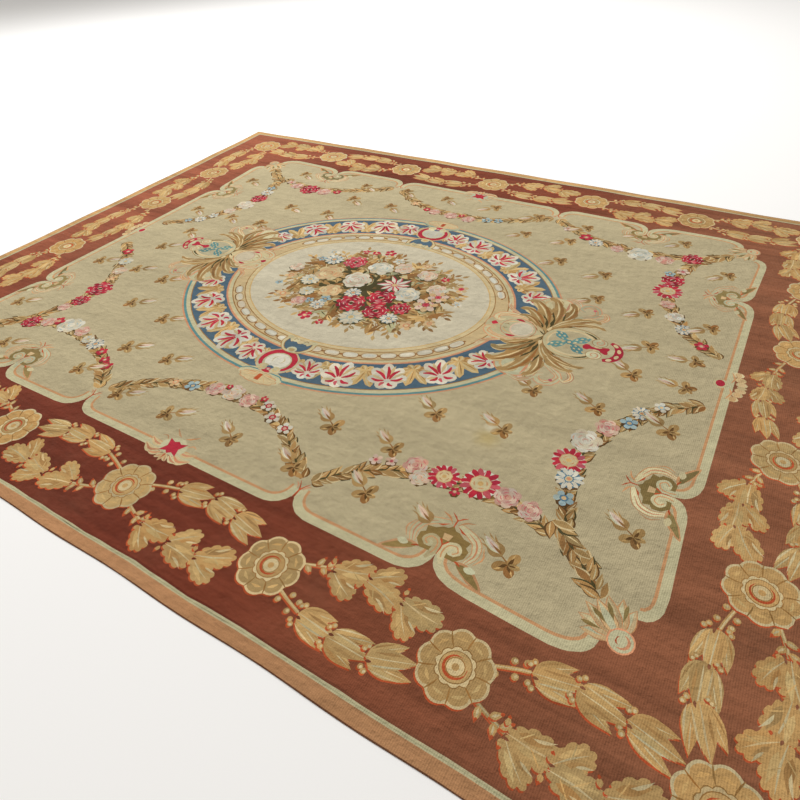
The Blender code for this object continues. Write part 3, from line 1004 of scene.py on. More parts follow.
def bead():
    """A long white bead with a brown shadow on its outer side, along X."""
    body = lobed(BEAD_LENGTH / 2, BEAD_WIDTH / 2, count=14)
    squared = np.sign(body) * np.abs(body / (BEAD_LENGTH / 2,
                                             BEAD_WIDTH / 2)) ** 0.7 * (BEAD_LENGTH / 2, BEAD_WIDTH / 2)
    link = stripe(np.array([(-0.6, 0.0), (0.6, 0.0)]) * BEAD_LENGTH, 0.012)
    return [(link, "leaf_brown"), (squared + (0.0, -0.001), "leaf_brown"),
            (squared * (0.91, 0.82) + (0.0, 0.001), "oval"),
            (squared * (0.76, 0.46) + (0.0, 0.003), "white")]


for number in range(BEAD_COUNT):
    at, outward = on_ring(0.727, 0.571, 360 * (number + 0.5) / BEAD_COUNT)
    if abs(at[0]) < 0.665 and abs(at[0] - MEDALLION_CENTRE[0]) > 0.085:
        place(bead(), at, outward + 90)

# The flowers of the blue ring
# On the slate ring pale flowers with crimson strokes alternate with gold leaves, which span the ring.
RING_RADII = (0.897, 0.719)
RING_FLOWER_ANGLES = (24.0, 40.0, 55.5, 69.5, 79.5)
RING_LEAF_ANGLES = (32.0, 47.5, 62.5, 74.8)


def ring_flower(variant):
    """A pale flower whose round petals fan from its foot, each with a thick crimson stroke."""
    spread = ((160, 0.070), (122, 0.090), (86, 0.104), (50, 0.094), (14, 0.074), (-48, 0.046),
              (-130, 0.044))
    if variant % 2:
        spread = ((138, 0.082), (100, 0.102), (64, 0.096), (26, 0.080), (-24, 0.056), (-90, 0.044),
                  (-156, 0.058))
    foot = np.array((0.0, -0.026))
    motif = [(turned(lobed(0.45 * length + 0.010, 0.029, count=12) + (0.58 * length, 0.0), angle, foot),
              "white")
             for angle, length in spread] + [(lobed(0.036, count=9), "white")]
    motif += [(turned(leaf(length * 0.9, 0.016, 0.1, 1.4, 6) + (0.010, 0.0), angle + 12, foot), "pale_gold")
              for angle, length in spread[:5]]
    for number, (angle, length) in enumerate(spread):
        bow = (0.008, -0.008, 0.005)[number % 3]
        dash = stroke([(0.014, 0.0), (length * 0.55, bow), (length * 0.92, 0.0)], 0.0150, 7, 0.45)
        motif.append((turned(dash, angle, foot), "rose" if number == 5 else "crimson"))
    return motif


def ring_leaf():
    """Ragged gold foliage that spans the ring: lobed blades, each with a light and a dark stroke."""
    motif = []
    for angle, length, width, dye, foot in ((96, 0.056, 0.040, "tan_gold", (-0.046, 0.0)),
                                            (-88, 0.060, 0.040, "tan_gold", (-0.044, 0.0)),
                                            (-140, 0.046, 0.036, "gold", (-0.040, 0.0)),
                                            (150, 0.044, 0.036, "gold", (-0.044, 0.0)),
                                            (-52, 0.088, 0.044, "tan_gold", (-0.040, 0.0)),
                                            (58, 0.092, 0.046, "gold", (-0.050, 0.0)),
                                            (-20, 0.122, 0.046, "gold", (-0.044, 0.0)),
                                            (22, 0.128, 0.048, "gold", (-0.052, 0.0))):
        blade = lobed(length / 2, width / 2, 7, 0.20, 21) + (length / 2, 0.0)
        light = stroke([(0.10 * length, 0.0), (0.55 * length, 0.20 * width), (0.94 * length, 0.10 * width)],
                       0.0085, 5, 0.2)
        dark = stroke([(0.06 * length, -0.004), (0.50 * length, -0.18 * width),
                       (0.86 * length, -0.16 * width)], 0.0055, 5, 0.2)
        motif += [(turned(outline, angle, foot), piece_dye)
                  for outline, piece_dye in ((blade, dye), (light, "straw"), (dark, "tan"))]
    return motif


for mirror_x, mirror_y in QUARTERS:
    for angle in (*RING_LEAF_ANGLES, 88.0):
        real_angle = angle if mirror_x > 0 else 180 - angle
        at, outward = on_ring(*RING_RADII, mirror_y * real_angle)
        if angle > 85:
            at, outward = MEDALLION_CENTRE + (mirror_x * 0.106,
                                              mirror_y * 0.712), mirror_y * (90 - mirror_x * 22)
        place(ring_leaf(), at, outward, 0.72 if angle > 85 else 0.98, mirror_x * mirror_y)
    for number, angle in enumerate(RING_FLOWER_ANGLES):
        real_angle = angle if mirror_x > 0 else 180 - angle
        at, outward = on_ring(*RING_RADII, mirror_y * real_angle)
        size = (0.88, 1.04, 1.06, 1.10, 0.88)[number]
        place(ring_flower(number), at, outward - 90 + draws.uniform(-25, 25), size, mirror_x * mirror_y)

# The scroll cartouches, crescents and shells above and below the oval
# A crimson scroll bends around a pale ground and opens outwards on a pink bud. A slate crescent breaks the
# string of beads inside it, and a peach shell lies on the teal line outside it.


def crescent():
    """The slate crescent in its pale rim, the oval towards +Y."""
    rim = curve_through([(-0.080, 0.046), (-0.086, 0.000), (-0.050, -0.046), (0.0, -0.058), (0.050, -0.046),
                         (0.086, 0.000), (0.080, 0.046), (0.054, 0.056), (0.0, 0.040), (-0.054, 0.056)], 34,
                         closed=True)
    moon = curve_through([(-0.064, 0.034), (-0.066, -0.004), (-0.034, -0.040), (0.034, -0.040),
                          (0.066, -0.004),
                          (0.064, 0.034), (0.046, 0.014), (0.026, 0.026), (0.0, 0.012), (-0.026, 0.026),
                          (-0.046, 0.014)], 34, closed=True)
    motif = [(rim * 1.05, "tan"), (rim, "straw"), (moon * (1.06, 1.08), "tan"), (moon, "slate"),
             (lobed(0.026, 0.022, count=12) + (0.0, -0.036), "band_cream"),
             (lobed(0.017, 0.012, count=10) + (0.0, -0.038), "gold")]
    for side in (-1, 1):
        motif.append((lobed(0.018, 0.016, count=10) + (side * 0.030, 0.036), "band_cream"))
        motif.append((stroke(arc((side * 0.030, 0.036), 0.010, 0.009, 0, 240, 5), 0.004, 7), "tan"))
        motif.append((lobed(0.017, 0.014, count=9) + (side * 0.070, 0.046), "band_cream"))
    return motif


def cartouche():
    """The crimson scroll, opening towards -Y."""
    motif = [(lobed(0.105, 0.093, 18, 0.04, 54), "peach"),
             (lobed(0.101, 0.089, 18, 0.04, 54), "band_cream"),
             (stroke(arc((0.0, 0.0), 0.081, 0.073, -60, 240, 13), 0.030, 24, 0.45), "crimson"),
             (lobed(0.068, 0.061, 14, 0.04, 42), "band_cream"), (lobed(0.061, 0.054, count=18), "white")]
    for side in (-1, 1):
        centre = (side * 0.033, -0.058)
        motif.append((lobed(0.027, 0.023, count=12) + centre, "band_cream"))
        motif.append((stroke(spiral(centre, 0.018, 0.8, 90, 0.4, 8, -side), 0.005, 10), "gold"))
        motif.append((stroke([(side * 0.012, 0.036), (side * 0.028, 0.014), (side * 0.022, -0.016)], 0.006,
                             6), "straw"))
    motif += [(lobed(0.019, 0.011, count=8) + (0.0, -0.050), "slate"),
              (lobed(0.015, 0.014, count=9) + (0.0, -0.068), "rose"),
              (lobed(0.008, 0.007, count=6) + (0.002, -0.066), "pale_pink"),
              (lobed(0.023, 0.009, count=9) + (0.0, -0.083), "crimson")]
    return motif


def shell():
    """The pale shell outside the teal line, which bends in around it, opening towards -Y."""
    motif = [(lobed(0.118, 0.052, count=26) + (0.0, 0.002), "band_cream")]
    motif.append((stroke([(-0.150, 0.006), (-0.112, 0.012), (-0.086, 0.030), (0.0, 0.034), (0.086, 0.030),
                          (0.112, 0.012), (0.150, 0.006)], 0.007, 16, 0.7), "teal"))
    motif.append((lobed(0.104, 0.040, 10, 0.10, 40) + (0.0, -0.014), "salmon"))
    motif.append((lobed(0.099, 0.036, 10, 0.10, 40) + (0.0, -0.013), "straw"))
    for side in (-1, 1):
        for reach, drop in ((0.026, -0.040), (0.054, -0.034), (0.080, -0.022), (0.090, -0.006)):
            motif.append((stroke([(side * 0.010, 0.006), (side * reach * 0.6, drop * 0.4),
                                  (side * reach, drop)], 0.006, 5),
                          "peach"))
        motif.append((stroke([(side * 0.018, 0.012), (side * 0.050, 0.010), (side * 0.086, 0.004)], 0.007,
                             6), "salmon"))
    motif.append((np.array([(-0.010, 0.012), (0.010, 0.012), (0.013, -0.030), (-0.012, -0.030)]),
                  "vermilion"))
    return motif


for way in (1, -1):
    turn = 0 if way > 0 else 180
    place(shell(), MEDALLION_CENTRE + (0.0, -way * 0.838), turn)
    place(cartouche(), MEDALLION_CENTRE + (0.0, -way * 0.718), turn)
    place(crescent(), MEDALLION_CENTRE + (0.0, -way * 0.583), turn)

# The leaf fans at the medallion's ends
# At each end big gold-brown leaves spread both ways from one point, over a pale oval shell with crimson
# accents and a round trellis panel, with a crimson spindle and pale scrolls beyond.
FAN_POINT = 0.965


def acanthus(points, width, shade_side):
    """A curled leaf along a curve through the points, blunt at its tip: a dark gap beside it, its lobed body,
    a shaded side, and broken light strokes along its other edge, its middle and its tip."""
    path = curve_through(points, 21)
    t = np.linspace(0, 1, 21)
    girth = np.sin(math.pi * t ** 0.85) ** 0.62
    body = stripe(path, width * girth * (0.66 + 0.42 * np.abs(np.sin(math.pi * 5 * t))) + 0.001)
    side = across(path) * (width * girth)[:, None] * shade_side
    return [(stroke((path - 0.54 * side)[0:12:3], width * 0.28, 6, 0.1), "dark_olive"), (body, "leaf_gold"),
            (stroke((path - 0.26 * side)[3:-2:4], width * 0.24, 7, 0.1), "leaf_brown"),
            (stroke((path + 0.34 * side)[2:11:3], width * 0.17, 6, 0.2), "straw"),
            (stroke((path + 0.38 * side)[11:20:3], width * 0.22, 6, 0.2), "straw"),
            (stroke((path - 0.02 * side)[6:17:3], width * 0.12, 5, 0.1), "straw"),
            (stroke((path - 0.42 * side)[12:19:2], width * 0.12, 5, 0.1), "straw")]


def scroll(points, width):
    """A pale band along a curve through the points, edged with an orange line and with another along it."""
    path = curve_through(points, 15)
    girth = 0.30 + 0.70 * np.sin(math.pi * np.linspace(0, 1, 15))
    return [(stripe(path, width * girth), "orange_pink"),
            (stripe(path, (width - 0.009) * girth), "band_cream"),
            (stroke(path[2:-2:3], 0.0075, 7, 0.3), "salmon")]


# One side's leaves, each from its foot to its tip, and their width
FAN_LEAVES = (
    (((0.004, 0.030), (0.034, 0.140), (0.060, 0.220), (0.052, 0.290), (0.024, 0.318)), 0.056),
    (((-0.002, 0.030), (0.006, 0.130), (-0.006, 0.230), (-0.048, 0.310), (-0.090, 0.322)), 0.066),
    (((0.006, 0.036), (0.050, 0.124), (0.112, 0.182), (0.176, 0.208), (0.214, 0.196)), 0.050),
    (((-0.008, 0.028), (-0.030, 0.120), (-0.068, 0.200), (-0.130, 0.262), (-0.172, 0.256)), 0.068),
    (((0.010, 0.040), (0.060, 0.118), (0.120, 0.152), (0.200, 0.170), (0.250, 0.154)), 0.038),
    (((-0.010, 0.024), (-0.048, 0.096), (-0.092, 0.150), (-0.146, 0.182), (-0.184, 0.170)), 0.058),
    (((-0.012, 0.018), (-0.050, 0.066), (-0.092, 0.104), (-0.134, 0.122), (-0.164, 0.112)), 0.040),
)


def fan():
    """The end's motif, its point at the origin and the medallion towards -X."""
    motif = [(lobed(0.150, 0.124, count=22) + (-0.136, 0.0), "salmon"),
             (lobed(0.145, 0.119, count=22) + (-0.136, 0.0), "band_cream")]
    for side in (-1, 1):
        motif.append((lobed(0.092, 0.086, count=20) + (-0.030, side * 0.262), "orange_pink"))
        motif.append((lobed(0.085, 0.079, count=20) + (-0.030, side * 0.262), "band_cream"))
        motif.append((stroke(arc((-0.030, side * 0.262), 0.062, 0.056, -30 * side, -250 * side, 7), 0.016,
                             12, 0.3), "peach"))
        motif.append((lobed(0.014, 0.038, count=10) + (-0.018, side * 0.240),
                      "slate" if side > 0 else "teal"))
        for points, width in ((((0.022, 0.180), (0.060, 0.208), (0.068, 0.250), (0.046, 0.284),
                                (0.018, 0.272)), 0.030),
                              (((0.060, 0.190), (0.120, 0.222), (0.172, 0.262), (0.156, 0.318),
                                (0.106, 0.328), (0.086, 0.292),
                                (0.112, 0.272)), 0.036),
                              (((0.140, 0.184), (0.196, 0.212), (0.222, 0.252), (0.204, 0.286),
                                (0.178, 0.270)), 0.026),
                              (((-0.030, 0.340), (0.020, 0.352), (0.062, 0.336), (0.080, 0.306)), 0.026)):
            motif += scroll([(x, side * y) for x, y in points], width)
        motif.append((lobed(0.009, 0.008, count=7) + (0.150, side * 0.300), "rose"))
        motif.append((stroke([(0.020, side * 0.214), (0.026, side * 0.262), (0.018, side * 0.318)], 0.012,
                             7), "orange_pink"))
        motif += scroll([(-0.018, side * 0.020), (-0.080, side * 0.084), (-0.150, side * 0.104),
                         (-0.222, side * 0.096),
                         (-0.258, side * 0.056), (-0.232, side * 0.034), (-0.206, side * 0.050)], 0.036)
        motif += scroll([(-0.150, side * 0.118), (-0.196, side * 0.136), (-0.236, side * 0.168),
                         (-0.250, side * 0.210)], 0.022)
        motif.append((turned(leaf(0.20, 0.13, 0.0, 0.9, 8), 98 * side, (0.0, 0.0)), "leaf_brown"))
        for points, width in FAN_LEAVES:
            motif += acanthus([(x, side * y) for x, y in points], width, side)
    for number, angle in enumerate((58, 84, 108, 132, -58, -84, -108, -132)):
        motif.append((turned(leaf(0.085, 0.026, 0.0, 0.8, 6), angle, (0.004, 0.0)),
                      ("leaf_gold", "straw")[number % 2]))
        motif.append((turned(leaf(0.050, 0.009, 0.0, 0.8, 5), angle + 11, (0.010, 0.0)), "dark_olive"))
    motif += [(lobed(0.138, 0.122, count=30) + (0.140, 0.0), "tan"),
              (lobed(0.134, 0.118, count=30) + (0.140, 0.0), "band_cream"),
              (lobed(0.118, 0.103, count=26) + (0.140, 0.0), "peach"),
              (lobed(0.113, 0.098, count=26) + (0.140, 0.0), "straw"),
              (lobed(0.104, 0.089, count=24) + (0.138, 0.0), "field")]
    for angle in (38, 142, -38, -142):
        motif.append((turned(leaf(0.104, 0.054, 0.0, 1.30, 10, 5), angle, (0.126, 0.0)), "teal"))
        for number in range(6):
            hole = np.array((0.026 + 0.013 * number, 0.009 * (1 if number % 2 else -1)))
            motif.append((turned(lobed(0.0085, 0.0055, count=4) + hole, angle, (0.126, 0.0)), "straw"))
    motif.append((lobed(0.018, 0.018, 4, 0.2, 12) + (0.126, 0.0), "teal"))
    motif.append((lobed(0.009, 0.009, count=6) + (0.126, 0.0), "straw"))
    for side in (-1, 1):
        motif.append((stroke(arc((0.140, 0.0), 0.122, 0.108, side * 78, side * 26, 7), 0.010, 10),
                      "dark_olive"))
        motif.append((lobed(0.036, 0.032, count=14) + (0.252, side * 0.050), "tan"))
        motif.append((lobed(0.033, 0.029, count=14) + (0.252, side * 0.050), "band_cream"))
        motif.append((stripe(spiral((0.252, side * 0.050), 0.024, 1.0, 90 * side, 0.35, 12, -side), 0.005),
                      "orange_pink"))
    spindle = [(0.188, 0.0), (0.196, 0.017), (0.212, 0.021), (0.226, 0.010), (0.262, 0.007), (0.280, 0.022),
               (0.302, 0.026),
               (0.308, 0.0), (0.302, -0.026), (0.280, -0.022), (0.262, -0.007), (0.226, -0.010),
               (0.212, -0.021),
               (0.196, -0.017)]
    motif.append((curve_through(spindle, 34, closed=True), "crimson"))
    motif.append((lobed(0.022, 0.024, count=10) + (0.322, 0.0), "band_cream"))
    motif.append((stroke(arc((0.286, 0.0), 0.064, 0.072, -80, 80, 7), 0.038, 16, 0.5), "crimson"))
    for angle in (-56, -19, 19, 56):
        motif.append((turned(lobed(0.009, 0.014, count=8) + (0.062, 0.0),
                             angle) * (1.0, 1.12) + (0.287, 0.0), "straw"))
    motif += [(lobed(0.086, 0.080, count=22) + (-0.122, 0.0), "orange_pink"),
              (lobed(0.082, 0.076, count=22) + (-0.122, 0.0), "band_cream"),
              (lobed(0.056, 0.060, count=18) + (-0.106, 0.0), "pale_pink"),
              (lobed(0.050, 0.054, count=18) + (-0.104, 0.0), "oval")]
    for side in (-1, 1):
        motif.append((stroke([(-0.158, side * 0.068), (-0.138, side * 0.070), (-0.112, side * 0.064)],
                             0.017, 7), "crimson"))
        motif.append((stroke([(-0.196, side * 0.020), (-0.172, side * 0.042), (-0.130, side * 0.056)],
                             0.008, 6), "peach"))
        motif.append((stroke([(-0.196, side * 0.010), (-0.182, side * 0.020), (-0.170, side * 0.010)],
                             0.005, 5), "tan"))
    motif += [(stroke([(-0.228, 0.0), (-0.212, 0.0), (-0.198, 0.0)], 0.012, 5), "peach"),
              (turned(leaf(0.036, 0.034, belly=1.3, count=7), 180, (-0.222, 0.0)), "crimson")]
    return motif


place(fan(), (FAN_POINT, 0.0))
place(fan(), (-FAN_POINT, 0.0), 180)

# The bouquet
# A broad bouquet lies on the pale oval: crimson roses low in the middle, white and blush ones around them,
# peach ones to the left, small blue and coral flowers between, and sprays of gold leaves all round.
BOUQUET_HALF_LENGTH = 0.520
BOUQUET_HALF_WIDTH = 0.372
BOUQUET_CENTRE = np.array([0.0, 0.005])
# Turn in radians from one leaf to the next, which spreads them evenly over the oval
SUNFLOWER_ANGLE = 2.39996


def spray(leaves, length, dye, fold):
    """A stem along +X with leaves on alternate sides, each second one with a fold, and one at its tip."""
    motif = [(stroke([(0.0, 0.0), (length * 0.5, 0.006), (length, 0.0)], 0.005, 5), "leaf_brown")]
    for number in range(leaves):
        side = 1 if number % 2 else -1
        at = (length * (0.22 + 0.68 * number / leaves), 0.0)
        motif.append((turned(leaf(0.046, 0.020, 0.1 * side, 0.9, 6), side * 42, at), dye))
        if number % 2:
            motif.append((turned(leaf(0.034, 0.006, 0.1 * side, 0.9, 4), side * 42, at), fold))
    motif.append((leaf(0.044, 0.020, 0.0, 0.9, 6) + (length * 0.92, 0.0), dye))
    return motif


place([(lobed(0.84 * BOUQUET_HALF_LENGTH, 0.82 * BOUQUET_HALF_WIDTH, 19, 0.22, 57), "leaf_brown")],
      BOUQUET_CENTRE)
place([(lobed(0.60 * BOUQUET_HALF_LENGTH, 0.60 * BOUQUET_HALF_WIDTH, 15, 0.20, 45), "dark_olive")],
      BOUQUET_CENTRE)
for number in range(54):
    angle = 360 * number / 54 + draws.uniform(-3, 3)
    a = math.radians(angle)
    reach = draws.uniform(0.56, 0.68)
    at = BOUQUET_CENTRE + reach * np.array([BOUQUET_HALF_LENGTH * math.cos(a),
                                            BOUQUET_HALF_WIDTH * math.sin(a)])
    heading = math.degrees(math.atan2(math.sin(a) * 0.8, math.cos(a))) + draws.uniform(-16, 16)
    half_size = BOUQUET_HALF_LENGTH * abs(math.cos(a)) + BOUQUET_HALF_WIDTH * abs(math.sin(a))
    length = draws.uniform(0.26, 0.38) * half_size
    dye = ("leaf_gold", "gold", "leaf_brown", "olive")[draws.choice(4, p=(0.54, 0.20, 0.20, 0.06))]
    place(spray(5 + number % 3, length, dye, ("umber", "straw", "leaf_brown")[number % 3]), at, heading)
for number in range(320):
    reach = 0.86 * math.sqrt((number + 0.5) / 320)
    a = number * SUNFLOWER_ANGLE
    at = BOUQUET_CENTRE + reach * np.array([BOUQUET_HALF_LENGTH * math.cos(a),
                                            BOUQUET_HALF_WIDTH * math.sin(a)])
    dye = ("leaf_gold", "leaf_brown", "olive", "gold",
           "green_line")[draws.choice(5, p=(0.46, 0.18, 0.10, 0.16, 0.10))]
    place([(leaf(draws.uniform(0.070, 0.105), draws.uniform(0.026, 0.038), draws.uniform(-0.2, 0.2), 0.9,
                 6), dye),
           (leaf(0.056, 0.007, 0.1, count=4), ("dark_olive", "straw", "leaf_brown")[number % 3])],
          at, math.degrees(a) + draws.uniform(-70, 70))
# Columns: kind, place along X, place along Y, radius
BOUQUET_FLOWERS = (
    ("blush_rose", -0.500, 0.030, 0.042), ("white_floret", -0.415, 0.265, 0.036),
    ("peach_floret", -0.470, -0.060, 0.036),
    ("white_daisy", -0.345, -0.050, 0.056), ("blue_floret", -0.430, 0.170, 0.026),
    ("crimson_floret", -0.240, 0.345, 0.022),
    ("crimson_floret", -0.105, 0.390, 0.034), ("crimson_floret", -0.180, 0.355, 0.024),
    ("white_floret", -0.010, 0.325, 0.034),
    ("crimson_floret", -0.145, -0.355, 0.036), ("crimson_floret", -0.040, -0.375, 0.022),
    ("coral_floret", 0.440, 0.205, 0.036),
    ("peach_floret", -0.385, -0.235, 0.040), ("blue_daisy", -0.360, 0.190, 0.056),
    ("blush_rose", 0.060, 0.265, 0.056),
    ("blush_rose", 0.215, 0.255, 0.056), ("crimson_floret", 0.320, 0.255, 0.024),
    ("blush_rose", 0.330, 0.140, 0.054),
    ("coral_daisy", 0.350, -0.010, 0.062), ("coral_daisy", 0.372, 0.080, 0.052),
    ("rose_rose", -0.230, 0.215, 0.066), ("cool_rose", -0.060, 0.215, 0.070),
    ("peach_rose", -0.290, 0.055, 0.080), ("white_rose", -0.110, 0.050, 0.080),
    ("peach_rose", -0.175, -0.105, 0.062),
    ("lily", 0.105, 0.090, 0.098),
    ("cool_rose", 0.215, 0.035, 0.070), ("crimson_rose", 0.110, -0.050, 0.072),
    ("blue_daisy", -0.050, -0.070, 0.046),
    ("crimson_rose", 0.000, -0.160, 0.076), ("crimson_rose", 0.155, -0.170, 0.066),
    ("crimson_rose", 0.255, -0.095, 0.052),
    ("white_daisy", -0.285, -0.160, 0.044), ("blue_floret", -0.145, -0.185, 0.032),
    ("blue_daisy", -0.150, -0.245, 0.040),
    ("blue_floret", -0.215, -0.230, 0.026), ("pink_rose", -0.265, -0.255, 0.040),
    ("white_daisy", 0.075, -0.270, 0.064),
    ("blue_daisy", 0.250, -0.200, 0.046), ("peach_floret", 0.360, -0.215, 0.040),
    ("peach_floret", 0.450, -0.150, 0.030),
    ("blue_floret", -0.480, -0.150, 0.022), ("white_floret", 0.490, 0.060, 0.026),
    ("peach_floret", 0.160, 0.345, 0.030),
)
for number, (kind, x, y, radius) in enumerate(BOUQUET_FLOWERS):
    if radius > 0.040:
        place([(lobed(radius * 1.04, None, 7, 0.34, 21, 31.0 * number) + (0.003, -0.009), "dark_olive")],
              (x, y))
    place(FLOWERS[kind], (x, y), 61.0 * number, radius)

# Weaving the panel
# The design becomes one sheet. Every patch's edge is an edge of the mesh and each triangle has one dye, as
# each patch of tapestry has one weft. The back shows the large patches only, under its loose weft ends.
FRONT_GRID = 0.10
BACK_GRID = 0.12
BACK_PATCH_SIZE = 0.30
RIM_WIDTH = 0.0015
LINE_TOLERANCE = 0.0013
GROUND_PATCH_SIZE = 0.30


def inside(points, outline):
    """Which points lie inside an outline: a ray from the point to +X crosses its edges an odd number of
    times."""
    x0, y0 = outline.T
    x1, y1 = np.roll(outline, -1, axis=0).T
    sloped = y0 != y1
    x0, y0, x1, y1 = x0[sloped], y0[sloped], x1[sloped], y1[sloped]
    slope = (x1 - x0) / (y1 - y0)
    odd = np.zeros(len(points), bool)
    step = 1 + 150000 // len(outline)
    for first in range(0, len(points), step):
        x, y = points[first:first + step].T
        x, y = x[:, None], y[:, None]
        odd[first:first + step] = (((y0 > y) != (y1 > y)) & (x < x0 + (y - y0) * slope)).sum(1) % 2 == 1
    return odd


def top_patch(points, patches):
    """Number of the last patch in the design that covers each point, or -1."""
    order = np.argsort(points[:, 0])
    ordered = points[order]
    top = np.full(len(points), -1)
    for number, (outline, _) in enumerate(patches):
        low, high = outline.min(0), outline.max(0)
        first, last = np.searchsorted(ordered[:, 0], (low[0], high[0]))
        near = first + np.flatnonzero((ordered[first:last,
                                               1] > low[1]) & (ordered[first:last, 1] < high[1]))
        if len(near):
            top[near[inside(ordered[near], outline)]] = number
    back_in_order = np.empty_like(top)
    back_in_order[order] = top
    return back_in_order


def triangulated(points, segments):
    """Vertices and triangles of a Delaunay triangulation that keeps the segments as edges."""
    made = delaunay_2d_cdt([Vector(p) for p in points], segments.tolist(), [], 0, 1e-5, False)
    return np.array([(v.x, v.y) for v in made[0]]), np.array([t for t in made[2] if len(t) == 3])


def lines_between(triangles, label):
    """Edges whose two triangles have different labels, or that have one triangle only."""
    edges = np.sort(triangles[:, [0, 1, 1, 2, 2, 0]].reshape(-1, 2), axis=1)
    order = np.lexsort(edges.T)
    edges, label = edges[order], np.repeat(label, 3)[order]
    same = np.all(edges[1:] == edges[:-1], axis=1)
    alone = ~np.append(same, False) & ~np.append([False], same)
    split = np.append(same & (label[1:] != label[:-1]), False)
    return edges[alone | split]


def straightened(vertices, edges, fixed):
    """Edges of the lines with fewer vertices: one that joins only two edges is left out where it lies within
    the tolerance of the line between its neighbours, and no two neighbours are left out in one round."""
    for round_number in range(5):
        degree = np.bincount(edges.ravel(), minlength=len(vertices))
        neighbours = edges[:, ::-1].ravel()[np.argsort(edges.ravel(), kind="stable")]
        first = np.cumsum(degree) - degree
        middle = np.flatnonzero((degree == 2) & ~fixed)
        one, other = neighbours[first[middle]], neighbours[first[middle] + 1]
        base, off = vertices[other] - vertices[one], vertices[middle] - vertices[one]
        length = np.linalg.norm(base, axis=1) + 1e-12
        height = np.abs(base[:, 0] * off[:, 1] - base[:, 1] * off[:, 0]) / length
        flat = (height < LINE_TOLERANCE) & (length < 0.2)
        rank = np.full(len(vertices), -1.0)
        rank[middle[flat]] = np.random.default_rng(round_number).random(flat.sum())
        chosen = flat & (rank[middle] > rank[one]) & (rank[middle] > rank[other])
        gone = np.zeros(len(vertices), bool)
        gone[middle[chosen]] = True
        joined = np.sort(np.stack([one[chosen], other[chosen]], 1), axis=1)
        edges = np.unique(np.vstack([edges[~gone[edges].any(1)], joined]), axis=0)
    return edges


def planar_map(patches, label, edge_ring, grid_step):
    """Vertices, triangles and patch numbers of the panel, where no triangle crosses a visible patch's edge.

    All outlines are triangulated at once, and each triangle takes the last patch at its middle. The lines
    that part two labels are straightened and, with a square grid of free points, triangulated again."""
    points = np.vstack([outline for outline, _ in patches] + [edge_ring])
    sizes = np.array([len(outline) for outline, _ in patches] + [len(edge_ring)])
    following = np.arange(1, len(points) + 1)
    ends = np.cumsum(sizes)
    following[ends - 1] = ends - sizes
    vertices, triangles = triangulated(points, np.stack([np.arange(len(points)), following], 1))
    patch = top_patch(vertices[triangles].mean(1), patches)
    lines = lines_between(triangles[patch >= 0], label[patch[patch >= 0]])
    rim = np.abs(np.abs(vertices) / (RUG_LENGTH / 2, RUG_WIDTH / 2) - 1).min(1) < 1e-4
    lines = straightened(vertices, lines, rim)
    used, lines = np.unique(lines, return_inverse=True)
    half_x, half_y = RUG_LENGTH / 2 - grid_step / 2, RUG_WIDTH / 2 - grid_step / 2
    grid = np.stack(np.meshgrid(np.arange(-half_x, half_x, grid_step),
                                np.arange(-half_y, half_y, grid_step)), -1)
    points = np.vstack([vertices[used], grid.reshape(-1, 2)])
    vertices, triangles = triangulated(points, lines.reshape(-1, 2))
    patch = top_patch(vertices[triangles].mean(1), patches)
    return vertices, triangles[patch >= 0], patch[patch >= 0]


edge_ring = np.vstack(rug_edge)
spread = np.array([np.ptp(outline, axis=0).max() for outline, _ in design])
dye_number = np.array([list(DYES).index(dye) for _, dye in design])
label = np.where(spread > GROUND_PATCH_SIZE, dye_number, np.arange(len(design)) + len(DYES))
front = planar_map(design, label, edge_ring, FRONT_GRID)
large = np.flatnonzero(spread > BACK_PATCH_SIZE)
back = planar_map([design[number] for number in large], label[large], edge_ring, BACK_GRID)
back = (back[0], back[1], large[back[2]])


def rim_ring(vertices):
    """The vertices on the rug's edge in order around it: sorted by the direction to each from the middle."""
    on_edge = np.flatnonzero(np.abs(np.abs(vertices) / (RUG_LENGTH / 2, RUG_WIDTH / 2) - 1).min(1) < 1e-4)
    return on_edge[np.argsort(np.arctan2(*vertices[on_edge, ::-1].T))]


def waviness(x, y):
    """Slight unevenness of the upper face, in metres: a sum of four sines 0.2 to 0.7 m long."""
    return 0.00022 * (np.sin(9.1 * x + 4.2 * y + 0.7) + np.sin(-5.3 * x + 14.7 * y + 2.1)
                      + np.sin(17.9 * x - 6.1 * y + 4.0) + np.sin(11.3 * x + 21.7 * y + 1.3))


sheets = []
for vertices, triangles, patch in (front, back):
    used, triangles = np.unique(triangles, return_inverse=True)
    vertices, triangles = vertices[used], triangles.reshape(-1, 3)
    a, b, c = vertices[triangles].transpose(1, 0, 2)
    clockwise = (b[:, 0] - a[:, 0]) * (c[:, 1] - a[:, 1]) < (b[:, 1] - a[:, 1]) * (c[:, 0] - a[:, 0])
    triangles[clockwise] = triangles[clockwise][:, ::-1]
    sheets.append((vertices, triangles, patch, rim_ring(vertices)))
(top_flat, top_triangles, top_patches, top_ring), (under_flat, under_triangles, under_patches,
                                                   under_ring) = sheets
rim = laid(top_flat[top_ring])
centring = (rim.min(0) + rim.max(0)) / 2
rim -= centring
top, under = laid(top_flat) - centring, laid(under_flat) - centring
inward = across(np.vstack([rim[-1:], rim, rim[:1]]))[1:-1] * RIM_WIDTH
top[top_ring] = rim + inward
under[under_ring] = rim + inward
top_z = lift(*top.T) + CLOTH_THICKNESS + waviness(*top.T)
rim_z = lift(*rim.T) + CLOTH_THICKNESS / 2
places = np.vstack([np.column_stack([top, top_z]), np.column_stack([rim, rim_z]),
                    np.column_stack([under, lift(*under.T)])])
rim_numbers = len(top) + np.arange(len(rim))
under_ring = under_ring + len(top) + len(rim)
quads = []
